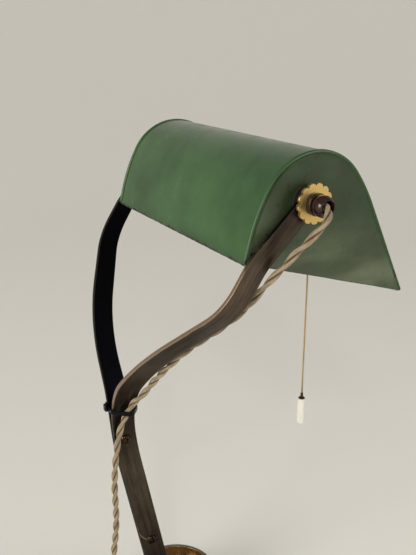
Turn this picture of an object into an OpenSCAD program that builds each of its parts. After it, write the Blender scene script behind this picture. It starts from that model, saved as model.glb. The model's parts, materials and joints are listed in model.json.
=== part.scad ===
// Desk lamp with a tilting trough shade on a fork of two flat bars, millimetres.
// Origin: centre of the base's underside. +X runs along the shade, away from the flex;
// -Y is the front, which the shade's wide side overhangs; +Z is up.

/* [Shade] */
// Length of the shade along its pivot line
shade_l = 230; // [200:1:260]
// Outer radius of the rounded top
crown_r = 47; // [42:0.5:49]
// Width across the open underside
mouth_w = 156.5; // [148:0.5:170]
// Height of the rounded top's centre above the underside
crown_h = 43.5; // [40:0.5:48]
// Distance of the rounded top's centre from the rear edge
crown_u = 49.3; // [48:0.1:54]
// Radius of the easing between the rounded top and the flat walls
ease_r = 150; // [120:5:180]
// Turn of the easing above the rear wall
rear_ease = 15; // [8:0.5:18]
// Turn of the easing above the front wall
front_ease = 12; // [6:0.5:18]
// Thickness of the sheet
sheet_t = 1; // [0.8:0.1:1.5]
// Radius of the hem on the two lower edges
hem_r = 1.8; // [1.6:0.1:2.5]
// Width of the rim that each end plate folds over the sheet
rim_w = 3.5; // [3:0.5:6]
// Thickness of the folded rim
rim_t = 0.8; // [0.5:0.1:1.2]
// Depth of each end plate's face behind its rim
plate_inset = 1; // [0.8:0.1:1.6]
// Width of the lip that each end plate turns in behind the sheet
lip_w = 6; // [5:0.5:9]
// Tilt of the shade at rest, front edge low
tilt = 16.4; // [10:0.2:22]

/* [Pivot] */
// Height of the pivot line above the table
pivot_h = 442; // [410:1:480]
// Distance of the pivot line from the shade's rear edge
pivot_u = 37.5; // [35:0.1:40]
// Height of the pivot line above the shade's underside
pivot_v = 52.5; // [50:0.5:56]
// Outer diameter of the pivot nipple and of the far stud
nipple_d = 10; // [9:0.5:11]
// Bore of the pivot nipple
nipple_bore = 7; // [6:0.5:7.5]
// Thickness of the friction washers
washer_t = 2.35; // [2:0.05:3.5]
// Diameter of the friction washers
washer_d = 24; // [20:1:28]
// Diameter over the lobes of the brass thumb nuts
thumb_d = 30; // [28:1:34]
// Thickness of the brass thumb nuts
thumb_t = 5; // [4:0.5:7]
// Number of lobes on a thumb nut
lobes = 13; // [11:1:15]
// Diameter of the cord bush's collar
bush_collar_d = 16.5; // [15:0.5:18]
// Diameter of the cord bush's ball
bush_ball_d = 16; // [14:0.5:16]
// Length of the cord bush
bush_l = 14.5; // [13:0.5:18]

/* [Arms] */
// Width of the flat bars
bar_w = 20; // [18:0.5:22]
// Thickness of the flat bars
bar_t = 4; // [3:0.5:5]
// Width of the bars at the pivot
bar_tip_w = 15.5; // [14:0.5:18]
// Length of the straight top of each bar
arm_top_l = 52; // [46:1:58]
// Lean of the straight top from the vertical
arm_top_lean = 46; // [42:1:50]
// Length of the straight middle of each bar
arm_mid_l = 73; // [68:1:78]
// Lean of the straight middle from the vertical
arm_mid_lean = 32; // [29:1:35]
// Lean of the stem from the vertical, forward at its foot
stem_lean = 11.3; // [9:0.1:13]
// Radius of the fork's upper bend
fork_top_r = 44; // [38:1:50]
// Radius of the fork's lower bend
fork_low_r = 75; // [65:1:80]
// Length of the fork's spread, across its two bends
fork_l = 168.5; // [160:0.5:178]
// Distance from the pivot line to the fork's upper bend
fork_top = 71.5; // [66:0.5:76]
// Slope of the fork's bend lines, low at the front
fork_slope = 19.09; // [17:0.01:21]
// Diameter of the stem screws
stem_screw_d = 5; // [4:0.5:6]
// Distance of the upper stem screw below the fork
stem_screw_top = 6; // [4:1:12]
// Height of the lower stem screw above the cup's floor
stem_screw_low = 73; // [60:1:90]
// Length of the feet that are bent out of the bars
foot_l = 18; // [17:0.5:19]
// Inner radius of the bend above each foot
foot_bend = 4; // [3:0.5:5]

/* [Base] */
// Diameter of the base
base_d = 150; // [140:1:180]
// Height of the base's edge
plinth_h = 9.5; // [8:0.5:12]
// Height of the cup's rim above the table
rim_h = 52; // [46:1:58]
// Outer diameter of the cup
cup_d = 80; // [76:1:90]
// Wall of the cup
cup_wall = 3.5; // [3:0.5:5]
// Height of the cup's floor above the table
cup_floor = 30; // [26:1:34]
// Radius of the hollow sweep from the base's edge to the cup
sweep_r = 22; // [18:1:26]
// Thickness of the felt pad
felt_t = 2.5; // [2:0.5:4]
// Distance of the stem's foot behind the middle of the base
foot_y = 11; // [8:0.5:13]
// Diameter of the foot screws
foot_screw_d = 5; // [4:0.5:6]

/* [Lampholder and bulb] */
// Outer diameter of the lampholder's barrel
barrel_d = 25; // [24.6:0.1:27]
// Length of the lampholder's barrel
barrel_l = 40; // [38:1:44]
// Wall of the lampholder's barrel
barrel_t = 1; // [0.8:0.1:1.2]
// Diameter of the bulb's bayonet cap
cap_d = 22; // [21.8:0.1:22.2]
// Diameter of the bulb's glass
bulb_d = 50; // [44:1:54]
// Length of the bulb's glass
bulb_l = 68; // [62:1:74]

/* [Pull switch] */
// Distance of the pull cord from the near end of the shade
pull_in = 26; // [25:0.5:28]
// Distance of the pull cord in front of the pivot line
pull_front = 24; // [22:0.5:26]
// Diameter of the pull cord
pull_d = 1.4; // [1.2:0.1:1.6]
// Length of the pull cord below its loop
pull_l = 152; // [140:1:165]
// Diameter of the white pull
pull_knob_d = 6.4; // [6:0.2:8]
// Length of the white pull
pull_knob_l = 23; // [20:1:28]
// Travel of the switch plunger
pull_travel = 5; // [4:0.5:6]

/* [Flex and plug] */
// Overall diameter of the twisted flex
flex_d = 6; // [5:0.1:6]
// Distance between neighbouring turns of the coil
coil_pitch = 6.6; // [6.6:0.1:7.5]
// Diameter of the plug's body
plug_d = 30; // [28:1:34]
// Length of the plug's body
plug_l = 32; // [28:1:38]

/* [Hidden] */
$fn = 96;
// Gap between faces that turn or slide past each other
face_gap = 0.15;
// Radial gap of a shaft that turns or slides in its hole
run_gap = 0.06;
// Gap between fixed pieces that lie against each other
lie_gap = 0.1;
// Gap between pieces that stay clear of each other
clear_gap = 0.3;
// Cuts run past the faces that they open
cut = 1;
// Turn between the flats of a bend, and of a small one
bend_step = 3;
small_step = 15;
small_bend = 8;

// Places along X, on the far side; the cord side mirrors them
plate_out_x = shade_l / 2 - plate_inset;
plate_in_x = plate_out_x - sheet_t;
arm_in_x = plate_out_x + washer_t + face_gap;
arm_out_x = arm_in_x + bar_t;
thumb_x = arm_out_x + face_gap;
bush_x = thumb_x + thumb_t + face_gap;

// Side view of the bars: lines are [length, 0, 0] and bends are [0, radius, turn]
arm_bend_top = 60;
arm_bend_mid = 120;
arm_straight = 12;
stem_bend = 340;
side_upper = [
    [arm_top_l, 0, 0],
    [0, arm_bend_top, arm_mid_lean - arm_top_lean],
    [arm_mid_l, 0, 0],
    [0, arm_bend_mid, -arm_mid_lean],
    [arm_straight, 0, 0]
];
top_heading = arm_top_lean - 90;
stem_heading = -90 - stem_lean;
elbow = path_end(side_upper, top_heading);
taper_l = path_length(side_upper);
neck_end = elbow + path_end([[0, stem_bend, -stem_lean]], -90);
stem_l = (pivot_h - cup_floor + neck_end[1]) / cos(stem_lean);
pivot_y = foot_y - neck_end[0] - stem_l * along(stem_heading)[0];
pivot_z = pivot_h;

// Fork: two bends joined by a straight diagonal
fork_rs = fork_top_r + fork_low_r;
fork_diag = sqrt(pow(fork_l, 2) + pow(arm_in_x, 2) - 2 * fork_rs * arm_in_x);
fork_turn = atan2(arm_in_x - fork_rs, fork_l) + atan2(fork_rs, fork_diag);
fork_end = fork_top + fork_l;
fork_lead = 20;
fork_tail = 40;
fork_close_z = pivot_z + (sin(fork_slope) * elbow[0] - fork_end) / cos(fork_slope);
screw_places = [fork_close_z - stem_screw_top, cup_floor + stem_screw_low];

// Shade section around the pivot: [rearward, up], before the tilt
rear_edge = [pivot_u, -pivot_v];
front_edge = [pivot_u - mouth_w, -pivot_v];
crown = [pivot_u - crown_u, crown_h - pivot_v];
rear_reach = wall_reach(rear_ease);
front_reach = wall_reach(front_ease);
rear_heading = angle_of(crown - rear_edge) - asin(rear_reach / norm(crown - rear_edge));
front_heading = angle_of(front_edge - crown) + asin(front_reach / norm(front_edge - crown)) + 360;
rear_wall = wall_length(rear_edge, rear_reach, rear_ease);
front_wall = wall_length(front_edge, front_reach, front_ease);
shade_path = [
    [rear_wall, 0, 0],
    [0, ease_r, rear_ease],
    [0, crown_r, front_heading - rear_heading - rear_ease - front_ease],
    [0, ease_r, front_ease],
    [front_wall, 0, 0]
];
hem = [0, hem_r, 180];
hemmed_path = concat([hem], shade_path, [hem]);

// Folded rim of an end plate: offsets inwards from the sheet's outer face
rim_out = -lie_gap - rim_t;
rim_in = sheet_t + lie_gap;
rim_back = rim_in + rim_t;
rim_r = (rim_back - rim_out) / 2;
rim_nose = 1.2;
sheet_end_x = shade_l / 2 - rim_nose - lie_gap;

// Lampholder along the pivot line, from the near end plate inwards
holder_x = -plate_in_x;
lock_nut_t = 4;
lock_nut_w = 17;
holder_skirt_l = 6;
holder_end_t = 2;
holder_neck_d = 16;
holder_neck_l = 4;
barrel_from = lock_nut_t + holder_neck_l + holder_end_t;
barrel_to = barrel_from + barrel_l;
barrel_in_d = barrel_d - 2 * barrel_t;
cap_wall = 1;
cap_shell_d = barrel_d + 2 * (cap_wall + lie_gap);
gallery_back = 16;
gallery_from = barrel_to - gallery_back;
gallery_t = 5;
gallery_rim = 2;
gallery_w = 5;
gallery_d = barrel_d + 2 * gallery_w;
core_l = 16;
core_inset = 5;
core_from = barrel_from + core_inset;
core_to = core_from + core_l;
core_d = barrel_in_d - 2 * lie_gap;
contact_d = 5;
contact_gap = 10;
contact_out = 3;
contact_deep = 8;
bulb_from = core_to + contact_out;
bulb_cap_l = 24;
bulb_cap_t = 0.5;
seal_t = 1;
seal_in = 6;
cap_curl = 1;
bulb_pin_d = 2;
bulb_pin_at = 7;
bulb_pin_out = 1.6;
slot_w = bulb_pin_d + 2 * clear_gap;
slot_turn = 20;
glass_t = 0.8;
glass_neck_d = cap_d - 2 * (bulb_cap_t + lie_gap);
glass_in = 4;
glass_neck_l = 6;
glass_low = -38;
nipple_past = 1;
nipple_grip = 5;
nipple_from = holder_x + lock_nut_t + holder_neck_l + nipple_past;
nipple_to = -(bush_x + nipple_grip);
bush_step = 0.5;
bush_flare = 2;
stud_past = 3;
stud_head_d = 18;
stud_head_h = 3;

// Pull switch; heights are from the pivot line
pull_x = -(shade_l / 2 - pull_in);
pull_y = pivot_y - pull_front;
housing_w = 13;
housing_deep = 14;
housing_h = 18;
housing_saddle = 2;
housing_floor = 4;
spring_room = 3;
plunger_d = 2.6;
plunger_head_d = 6;
plunger_head_t = 3;
chamber_floor = -housing_h / 2 + housing_floor;
chamber_h = plunger_head_t + pull_travel + spring_room;
plunger_head_z = chamber_floor + chamber_h - plunger_head_t - clear_gap;
eye_wire = 1.2;
eye_r = 3;
eye_room = 1.5;
eye_z = -housing_h / 2 - pull_travel - eye_r - eye_room;
loop_z = eye_z - eye_r;
loop_wire = 1.2;
loop_r = 2;
knot_r = 1.5;
knot_drop = 0.5;
knot_z = loop_z - loop_r - knot_drop;
ferrule_l = 5;
ferrule_d = 3.6;
pull_end_z = knot_z - pull_l;
pull_edge = 1;

// Base
felt_set = 1;
felt_in = 3;
felt_d = base_d - 2 * felt_in;
base_under = felt_t - felt_set;
edge_r = 3;
foot_ease = 1;
cup_fillet = 3;
foot_screw_l = 16;
foot_x = bar_t / 2 + foot_bend + bar_t / 2 + foot_l / 2;
foot_hole_gap = 0.2;
screw_head_w = 1.9;
screw_head_h = 0.6;
screw_slot = 0.22;
nut_h = 4;
screw_past = 1;

// Cable tie round the stem and the flex
tie_up = 26;
tie_z = fork_close_z + tie_up;
tie_h = 4;
tie_t = 1.2;
tie_corner = 1.5;
tie_slack = 0.8;
tie_head = [5, 3, 6];

// Flex round the bush: [out from the bush, back and up from the pivot]
lead_bush = [
    [8.2, 0, 0], [11.2, 0, 0], [15.7, 0.9, -1], [19.2, 3.4, -3.5],
    [21.4, 6.4, -6.7], [21.7, 9.9, -10.5], [19.7, 13.6, -15.2], [16.2, 17.4, -21.5],
    [10.6, 21.9, -29.4], [5, 27.1, -39.3]
];
// Flex along the fork: [share of the arm's reach, back and up from the pivot]
lead_fork = [
    [1.032, 32.9, -49.5], [0.976, 38.3, -60.5], [0.934, 43.4, -70.5], [0.888, 50.9, -80.5],
    [0.818, 59.8, -91.5], [0.737, 65.2, -100.8], [0.666, 69.9, -108.8], [0.608, 73.4, -115.5],
    [0.554, 77.1, -122.7], [0.494, 80.9, -131], [0.394, 85.5, -144.7], [0.289, 88.4, -159],
    [0.205, 93.1, -173.1], [0.131, 98.9, -185], [0.095, 103.9, -197]
];
// Flex that hangs: [x, share of the way from the coil to the fork, share of the fork's height]
lead_hang = [
    [-9.2, 0.936, 0.937], [-9, 0.887, 0.857], [-9.6, 0.849, 0.759], [-10, 0.836, 0.555],
    [-11, 0.797, 0.469], [-12, 0.756, 0.376], [-13, 0.692, 0.278], [-15, 0.615, 0.184],
    [-19, 0.513, 0.098], [-27, 0.385, 0.041]
];
// Flex on the table: [x, y] from the coil's middle, then from the coil to the plug with its rise
lead_table = [[60, 23.5], [43, 34], [27, 40], [15, 41.5], [6, 41.5]];
tail_way = [
    [-41.5, -6, 6.6], [-41.5, -14.5, 6.6], [-38.5, -29.5, 7.7], [-32.5, -45.5, 9.4],
    [-27, -59.5, 10.5], [-24, -72.5, 10.7], [-24, -81.5, 10.7]
];
flex_sides = 10;
coil_sides = 6;
coil_rings = 24;
coil_mid = [-100, 86.5];
coil_z = 4.3;
coil_start = 90;
coil_r = 41.5;
coil_in = 2.375;
coil_over = 0.5;
lead_drop = lead_fork[len(lead_fork) - 1];
drop_y = pivot_y + lead_drop[1];
drop_z = pivot_z + lead_drop[2];
coil_far = coil_mid[1] + coil_r;
lead_route = concat(
    [for (p = lead_bush) [-bush_x - p[0], pivot_y + p[1], pivot_z + p[2]]],
    [for (p = lead_fork) [-arm_out_x * p[0], pivot_y + p[1], pivot_z + p[2]]],
    [for (p = lead_hang) [p[0], coil_far + (drop_y - coil_far) * p[1], drop_z * p[2]]],
    [for (p = lead_table) concat(coil_mid + p, coil_z)]
);
tail_route = [for (p = tail_way) concat(coil_mid, coil_z) + p];
coil_tie_t = 1;
coil_tie_w = 6;
coil_tie_at = 300;
plug_neck_l = 20;
plug_neck_d = 9;
plug_pin_d = 4;
plug_pin_l = 19;
plug_pin_gap = 19;
plug_edge = 8;
plug_ease = 1;
plug_neck_flare = 2.5;

// The direction of a heading
function along(a) = [cos(a), sin(a)];

// The heading of a direction
function angle_of(v) = atan2(v[1], v[0]);

// The rest of a list after its first entry
function rest(list) = [for (i = [1:1:len(list) - 1]) list[i]];

// Where one line or bend ends, seen from its start
function seg_end(s) = s[0] > 0 ? [s[0], 0]
    : [s[1] * sin(abs(s[2])), sign(s[2]) * s[1] * (1 - cos(s[2]))];

// A vector turned by an angle
function turned(v, a) = [v[0] * cos(a) - v[1] * sin(a), v[0] * sin(a) + v[1] * cos(a)];

// Length of one line or bend
function seg_length(s) = s[0] > 0 ? s[0] : s[1] * abs(s[2]) * PI / 180;

// Length of a path of lines and bends
function path_length(segs, i = 0) = i >= len(segs) ? 0
    : seg_length(segs[i]) + path_length(segs, i + 1);

// Where a path of lines and bends ends, from a start at zero
function path_end(segs, heading, i = 0) = i >= len(segs) ? [0, 0]
    : turned(seg_end(segs[i]), heading) + path_end(segs, heading + segs[i][2], i + 1);

// Number of flats in one line or bend
function flats(s) = s[0] > 0 ? 1 : ceil(abs(s[2]) / (s[1] < small_bend ? small_step : bend_step));

// Points beside a path of lines and bends; off(run) is the offset to its left at a length along it
function beside(segs, off, at, heading, run = 0, i = 0) =
    i >= len(segs) ? [at + off(run) * along(heading + 90)]
    : let (s = segs[i], l = seg_length(s), n = flats(s)) concat(
        [for (k = [0:n - 1]) let (part = [0, s[1], s[2] * k / n])
            at + turned(seg_end(part), heading) + off(run + l * k / n) * along(heading + part[2] + 90)],
        beside(segs, off, at + turned(seg_end(s), heading), heading + s[2], run + l, i + 1));

// Outline between two such offsets
function between(segs, lo, hi, at, heading) = let (far = beside(segs, hi, at, heading))
    concat(beside(segs, lo, at, heading), [for (i = [len(far) - 1:-1:0]) far[i]]);

// Outline of a flat bar along a path; w(run) is its width at a length along it
function bar_outline(segs, w, at, heading) =
    between(segs, function(run) -w(run) / 2, function(run) w(run) / 2, at, heading);

// Distance of a flat wall's line from the rounded top's centre
function wall_reach(ease) = ease_r - (ease_r - crown_r) * cos(ease);

// Length of a flat wall between its lower edge and its easing
function wall_length(edge, reach, ease) =
    sqrt(pow(norm(edge - crown), 2) - pow(reach, 2)) - (ease_r - crown_r) * sin(ease);

// Points on an arc
function arc(c, r, from, to, n = 8) =
    [for (i = [0:n]) c + r * along(from + (to - from) * i / n)];

// The direction that a belt faces between two circles [x, y, radius]
function belt_side(a, b) = let (way = [b[0] - a[0], b[1] - a[1]])
    angle_of(way) - 90 + asin((a[2] - b[2]) / norm(way));

// Points of a belt round circles that follow each other to the left, at a distance outside them
function belt(circles, out) = let (n = len(circles)) [
    for (i = [0:n - 1]) let (
            here = circles[i],
            from = belt_side(circles[(i + n - 1) % n], here),
            to = belt_side(here, circles[(i + 1) % n]),
            turn = (to - from + 720) % 360)
        each arc([here[0], here[1]], here[2] + out, from, from + turn)
];

// Rearward place of the stem's middle at a height above the table
function stem_y(z) = let (drop = pivot_z + elbow[1] - z, arc_drop = stem_bend * sin(stem_lean))
    pivot_y + elbow[0] - (drop < arc_drop
        ? stem_bend - sqrt(pow(stem_bend, 2) - pow(drop, 2))
        : stem_bend * (1 - cos(stem_lean)) + (drop - arc_drop) * tan(stem_lean));

// Outer face of a bar near the foot of the fork, at a place and height
function fork_face(y, z) = let (
        s = sin(fork_slope) * (y - pivot_y) - cos(fork_slope) * (z - pivot_z),
        up = max(0, fork_end - s))
    bar_t / 2 + fork_low_r - sqrt(pow(fork_low_r - bar_t / 2, 2) - pow(up, 2));

// A unit vector
function unit(v) = v / norm(v);

// The direction of a route at a point
function heading_at(p, i) =
    unit(p[min(i + 1, len(p) - 1)] - p[max(i - 1, 0)]);

// A side vector carried along a route with no twist
function carried(n, t) = unit(n - t * (n * t));

// Corner points of a tube along a route, ring after ring
function tube_points(p, r, sides, start) = [
    for (i = 0, n = carried(start, heading_at(p, 0)); i < len(p);
            i = i + 1, n = i < len(p) ? carried(n, heading_at(p, i)) : n)
        let (t = heading_at(p, i), b = cross(t, n))
        for (k = [0:sides - 1])
            p[i] + r * (cos(360 * k / sides) * n + sin(360 * k / sides) * b)
];

// Faces of such a tube, in triangles
function tube_faces(rings, sides) = concat(
    [for (k = [1:sides - 2]) [0, k, k + 1]],
    [for (k = [1:sides - 2]) let (e = (rings - 1) * sides) [e, e + k + 1, e + k]],
    [for (i = [0:rings - 2], k = [0:sides - 1], half = [0, 1])
        let (a = i * sides + k, b = i * sides + (k + 1) % sides)
        half == 0 ? [a, a + sides, b] : [b, a + sides, b + sides]]
);

// Turns of the coil: in along the table, up a layer, and out again
coil_half = coil_in + coil_over / 2;
coil_all = 2 * coil_half;
coil_min = coil_r - coil_pitch * coil_half;
function coil_radius(u) = coil_min + coil_pitch * abs(u - coil_half);
function coil_climb(u) = let (c = min(1, max(0, (u - coil_in) / coil_over))) c * c * (3 - 2 * c);
function coil_point(u) = let (a = coil_start + 360 * u, r = coil_radius(u))
    [coil_mid[0] + r * cos(a), coil_mid[1] + r * sin(a), coil_z + coil_pitch * coil_climb(u)];
coil_steps = round(coil_all * coil_rings);
coil_turns = [for (i = [0:coil_steps]) coil_point(coil_all * i / coil_steps)];
coil_route = concat(
    [coil_turns[0] - flex_d * [-sin(coil_start), cos(coil_start), 0]],
    coil_turns,
    [let (a = coil_start + 360 * coil_all)
        coil_turns[coil_steps] + flex_d * [-sin(a), cos(a), 0]]
);

// Least gap of the coil's tube to itself, between points half a turn or more apart
coil_gap = min([for (i = [0:coil_steps - coil_rings / 2])
    min([for (j = [i + coil_rings / 2:coil_steps])
        norm(coil_turns[i] - coil_turns[j])])]) - flex_d;
echo(least_gap_of_the_coil_to_itself = coil_gap);

// Length of a route
function route_length(p) = len(p) < 2 ? 0
    : [for (i = [1:len(p) - 1]) norm(p[i] - p[i - 1])] * [for (i = [1:len(p) - 1]) 1];
echo(flex_length = route_length(lead_route) + route_length(coil_route)
    + route_length(tail_route));
echo(pivot = [0, pivot_y, pivot_z]);

// A bend of a strip, to the left for a turn above zero
module bend(r, turn, lo, hi, h) {
    if (turn < 0)
        mirror([0, 1, 0]) bend(r, -turn, -hi, -lo, h);
    else
        translate([0, r, 0]) rotate(-90)
            rotate_extrude(angle = turn, $fn = 360)
                translate([r - hi, 0]) square([hi - lo, h]);
}

// A strip between two offsets from a path of lines and bends
module strip(segs, lo, hi, h) {
    if (len(segs) > 0) {
        s = segs[0];
        if (s[0] > 0)
            translate([0, lo, 0]) cube([s[0], hi - lo, h]);
        else
            bend(s[1], s[2], lo, hi, h);
        translate(concat(seg_end(s), 0)) rotate(s[2]) strip(rest(segs), lo, hi, h);
    }
}

// Section plane on the pivot line: x is rearward, y is up, z runs along the shade
module at_pivot() {
    translate([0, pivot_y, pivot_z]) rotate([90, 0, 90]) children();
}

// Axis along the shade at a place on the pivot line, z inwards from the near end
module on_pivot(x) {
    translate([x, pivot_y, pivot_z]) rotate([0, 90, 0]) children();
}

// A pair, on the near and the far side
module both_sides() {
    children();
    mirror([1, 0, 0]) children();
}

// A ring
module ring(d, bore, h) {
    difference() {
        cylinder(d = d, h = h);
        translate([0, 0, -cut]) cylinder(d = bore, h = h + 2 * cut);
    }
}

// A slotted round-head screw, head up, its head seated at zero
module round_screw(d, l) {
    head = screw_head_w * d;
    high = screw_head_h * d;
    ball = (pow(head / 2, 2) + pow(high, 2)) / (2 * high);
    difference() {
        union() {
            intersection() {
                translate([0, 0, high - ball]) sphere(ball);
                cylinder(d = head, h = high + cut);
            }
            translate([0, 0, -l]) cylinder(d = d, h = l);
        }
        translate([-d, -screw_slot * d / 2, high / 2]) cube([2 * d, screw_slot * d, high]);
    }
}

module base_casting() {
    r = base_d / 2;
    c = cup_d / 2;
    i = c - cup_wall;
    outline = concat(
        [[0, felt_t], [felt_d / 2 + lie_gap, felt_t], [felt_d / 2 + lie_gap, base_under]],
        [[r - foot_ease, base_under], [r, base_under + foot_ease]],
        arc([r - edge_r, plinth_h - edge_r], edge_r, 0, 90),
        arc([c + sweep_r, plinth_h + sweep_r], sweep_r, 270, 180, 12),
        arc([c - cup_wall / 2, rim_h - cup_wall / 2], cup_wall / 2, 0, 180),
        arc([i - cup_fillet, cup_floor + cup_fillet], cup_fillet, 0, -90),
        [[0, cup_floor]]
    );
    color([0.10, 0.11, 0.11]) difference() {
        rotate_extrude() polygon(outline);
        both_sides() translate([foot_x, foot_y, cup_floor + bar_t - foot_screw_l - cut])
            cylinder(d = foot_screw_d + 2 * lie_gap, h = foot_screw_l);
    }
}

module base_felt() {
    color([0.12, 0.22, 0.14]) cylinder(d = felt_d, h = felt_t);
}

module foot_screws() {
    color([0.20, 0.15, 0.11]) both_sides()
        translate([foot_x, foot_y, cup_floor + bar_t]) round_screw(foot_screw_d, foot_screw_l);
}

// Both bars seen from the side, tapered to a round end at the pivot
module bar_side() {
    path = concat(side_upper, [[0, stem_bend, -stem_lean], [stem_l + bar_w, 0, 0]]);
    width = function(run) bar_tip_w + (bar_w - bar_tip_w) * min(1, run / taper_l);
    stem = bar_outline(path, width, [0, 0], top_heading);
    tip = arc([0, 0], bar_tip_w / 2, top_heading - 270, top_heading - 90, 20);
    translate([0, 0, -cut]) linear_extrude(arm_out_x + 2 * cut) polygon(concat(tip, stem));
}

// One bar seen from the front, from the stem to above the pivot
module bar_front() {
    fork = [
        [fork_tail, 0, 0],
        [0, fork_low_r, -fork_turn],
        [fork_diag, 0, 0],
        [0, fork_top_r, fork_turn],
        [fork_lead + fork_top, 0, 0]
    ];
    thick = function(run) bar_t;
    rotate(fork_slope - 90) rotate([90, 0, 0]) linear_extrude(pivot_h, center = true)
        polygon(bar_outline(fork, thick, [fork_end + fork_tail, bar_t / 2], 180));
}

// The stem and foot of one bar seen from the front
module foot_front() {
    from = pivot_z - fork_close_z + fork_tail / 2;
    mid = foot_bend + bar_t / 2;
    down = pivot_z - cup_floor - bar_t / 2 - mid - from;
    path = [[down, 0, 0], [0, mid, 90], [foot_l, 0, 0]];
    thick = function(run) bar_t;
    rotate(-90) rotate([90, 0, 0]) linear_extrude(pivot_h, center = true)
        polygon(bar_outline(path, thick, [from, bar_t / 2], 0));
}

// The two screw places in the stem, z pointing to the near side
module at_stem_screws() {
    for (z = screw_places)
        translate([0, stem_y(z), z]) rotate([0, -90, 0]) children();
}

// One bar of the fork, on the far side
module arm() {
    difference() {
        at_pivot() intersection() {
            bar_side();
            union() {
                bar_front();
                foot_front();
            }
        }
        on_pivot(arm_in_x - cut) cylinder(d = nipple_d + 2 * run_gap, h = bar_t + 2 * cut);
        at_stem_screws() cylinder(d = stem_screw_d + 2 * lie_gap, h = 4 * bar_t, center = true);
        translate([foot_x, foot_y, cup_floor - cut])
            cylinder(d = foot_screw_d + 2 * foot_hole_gap, h = bar_t + 2 * cut);
    }
}

module cord_arm() {
    color([0.24, 0.17, 0.12]) mirror([1, 0, 0]) arm();
}

module far_arm() {
    color([0.18, 0.13, 0.10]) arm();
}

module stem_screws() {
    color([0.22, 0.16, 0.11]) at_stem_screws()
        translate([0, 0, bar_t]) round_screw(stem_screw_d, 2 * bar_t + nut_h + screw_past);
}

module stem_nuts() {
    color([0.20, 0.15, 0.11]) at_stem_screws() translate([0, 0, -bar_t - nut_h]) difference() {
        cylinder(d = 2 * stem_screw_d, h = nut_h, $fn = 6);
        translate([0, 0, -cut]) cylinder(d = stem_screw_d + 2 * lie_gap, h = nut_h + 2 * cut);
    }
}

module cable_tie() {
    top = tie_z + tie_h / 2;
    low = tie_z - tie_h / 2;
    half = bar_w / 2 / cos(stem_lean) + clear_gap;
    front = min(stem_y(top), stem_y(low)) - half;
    rear = max(stem_y(top), stem_y(low)) + half;
    r = tie_corner;
    x_front = fork_face(front, top) + clear_gap - r;
    x_rear = fork_face(rear, top) + clear_gap - r;
    flex_x = [for (p = lead_route) [p[2], p[0]]];
    flex_y = [for (p = lead_route) [p[2], p[1]]];
    flex_r = flex_d / 2 + tie_slack;
    posts = [
        [x_front, front + r, r],
        [x_rear, rear - r, r],
        [-x_rear, rear - r, r],
        [lookup(low, flex_x), lookup(low, flex_y), flex_r],
        [lookup(top, flex_x), lookup(top, flex_y), flex_r],
        [-x_front, front + r, r]
    ];
    color([0.05, 0.05, 0.05]) {
        translate([0, 0, low]) difference() {
            linear_extrude(tie_h) polygon(belt(posts, tie_t));
            translate([0, 0, -cut]) linear_extrude(tie_h + 2 * cut) polygon(belt(posts, 0));
        }
        translate([0, rear + tie_t / 2, tie_z - tie_head[2] / 2]) cube(tie_head);
    }
}

// The shade's section, tilted, with its path starting at the rear edge
module along_shade() {
    at_pivot() rotate(tilt) translate(concat(rear_edge, 0)) rotate(rear_heading) children();
}

// Bent sheet with a hem rolled inwards along each lower edge
module shade_sheet() {
    outer = function(run) 0;
    inner = function(run) sheet_t;
    color([0.16, 0.36, 0.16]) along_shade() linear_extrude(2 * sheet_end_x, center = true)
        polygon(between(hemmed_path, outer, inner, [0, 2 * hem_r], 180));
}

// Section of the folded rim, a hook over the end of the sheet with a round nose
rim_section = concat(
    [[rim_out, -rim_w], [-lie_gap, -rim_w], [-lie_gap, -rim_nose], [rim_in, -rim_nose]],
    [[rim_in, -lip_w], [rim_back, -lip_w]],
    arc([rim_out + rim_r, -rim_r], rim_r, 0, 180)
);

// A closed section carried along the shade's path: x inwards from it, y along the shade
module along_rim(section) {
    rows = [for (q = section)
        [for (p = beside(shade_path, function(run) q[0], [0, 0], 0)) concat(p, q[1])]];
    m = len(rows);
    n = len(rows[0]);
    polyhedron([for (row = rows) each row], concat(
        [[for (j = [0:m - 1]) j * n]],
        [[for (j = [m - 1:-1:0]) j * n + n - 1]],
        [for (j = [0:m - 1], i = [0:n - 2], half = [0, 1])
            let (a = j * n + i, b = ((j + 1) % m) * n + i)
            half == 0 ? [a, a + 1, b + 1] : [a, b + 1, b]]
    ));
}

// One end plate, a pan whose rim is folded over the end of the sheet, on the far side
module end_plate() {
    mid = function(run) rim_in + rim_t / 2;
    lifted = [for (i = [0:len(shade_path) - 1]) let (s = shade_path[i])
        s[0] > 0 ? [s[0] - clear_gap, 0, 0] : s];
    difference() {
        along_shade() {
            translate([0, 0, plate_in_x]) linear_extrude(sheet_t)
                polygon(beside(lifted, mid, [clear_gap, 0], 0));
            translate([0, 0, shade_l / 2]) along_rim(rim_section);
        }
        on_pivot(plate_in_x - cut) cylinder(d = nipple_d + 2 * lie_gap, h = sheet_t + 2 * cut);
    }
}

module cord_end_plate() {
    color([0.14, 0.27, 0.13]) mirror([1, 0, 0]) end_plate();
}

module far_end_plate() {
    color([0.14, 0.30, 0.14]) end_plate();
}

module friction_washers() {
    color([0.30, 0.12, 0.08]) both_sides()
        on_pivot(plate_out_x) ring(washer_d, nipple_d + 2 * lie_gap, washer_t);
}

module pivot_nipple() {
    color([0.70, 0.55, 0.25]) on_pivot(nipple_to)
        ring(nipple_d, nipple_bore, nipple_from - nipple_to);
}

module lock_nut() {
    color([0.70, 0.55, 0.25]) on_pivot(holder_x) difference() {
        cylinder(d = lock_nut_w, h = lock_nut_t, $fn = 6);
        translate([0, 0, -cut]) cylinder(d = nipple_d + 2 * lie_gap, h = lock_nut_t + 2 * cut);
    }
}

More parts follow.
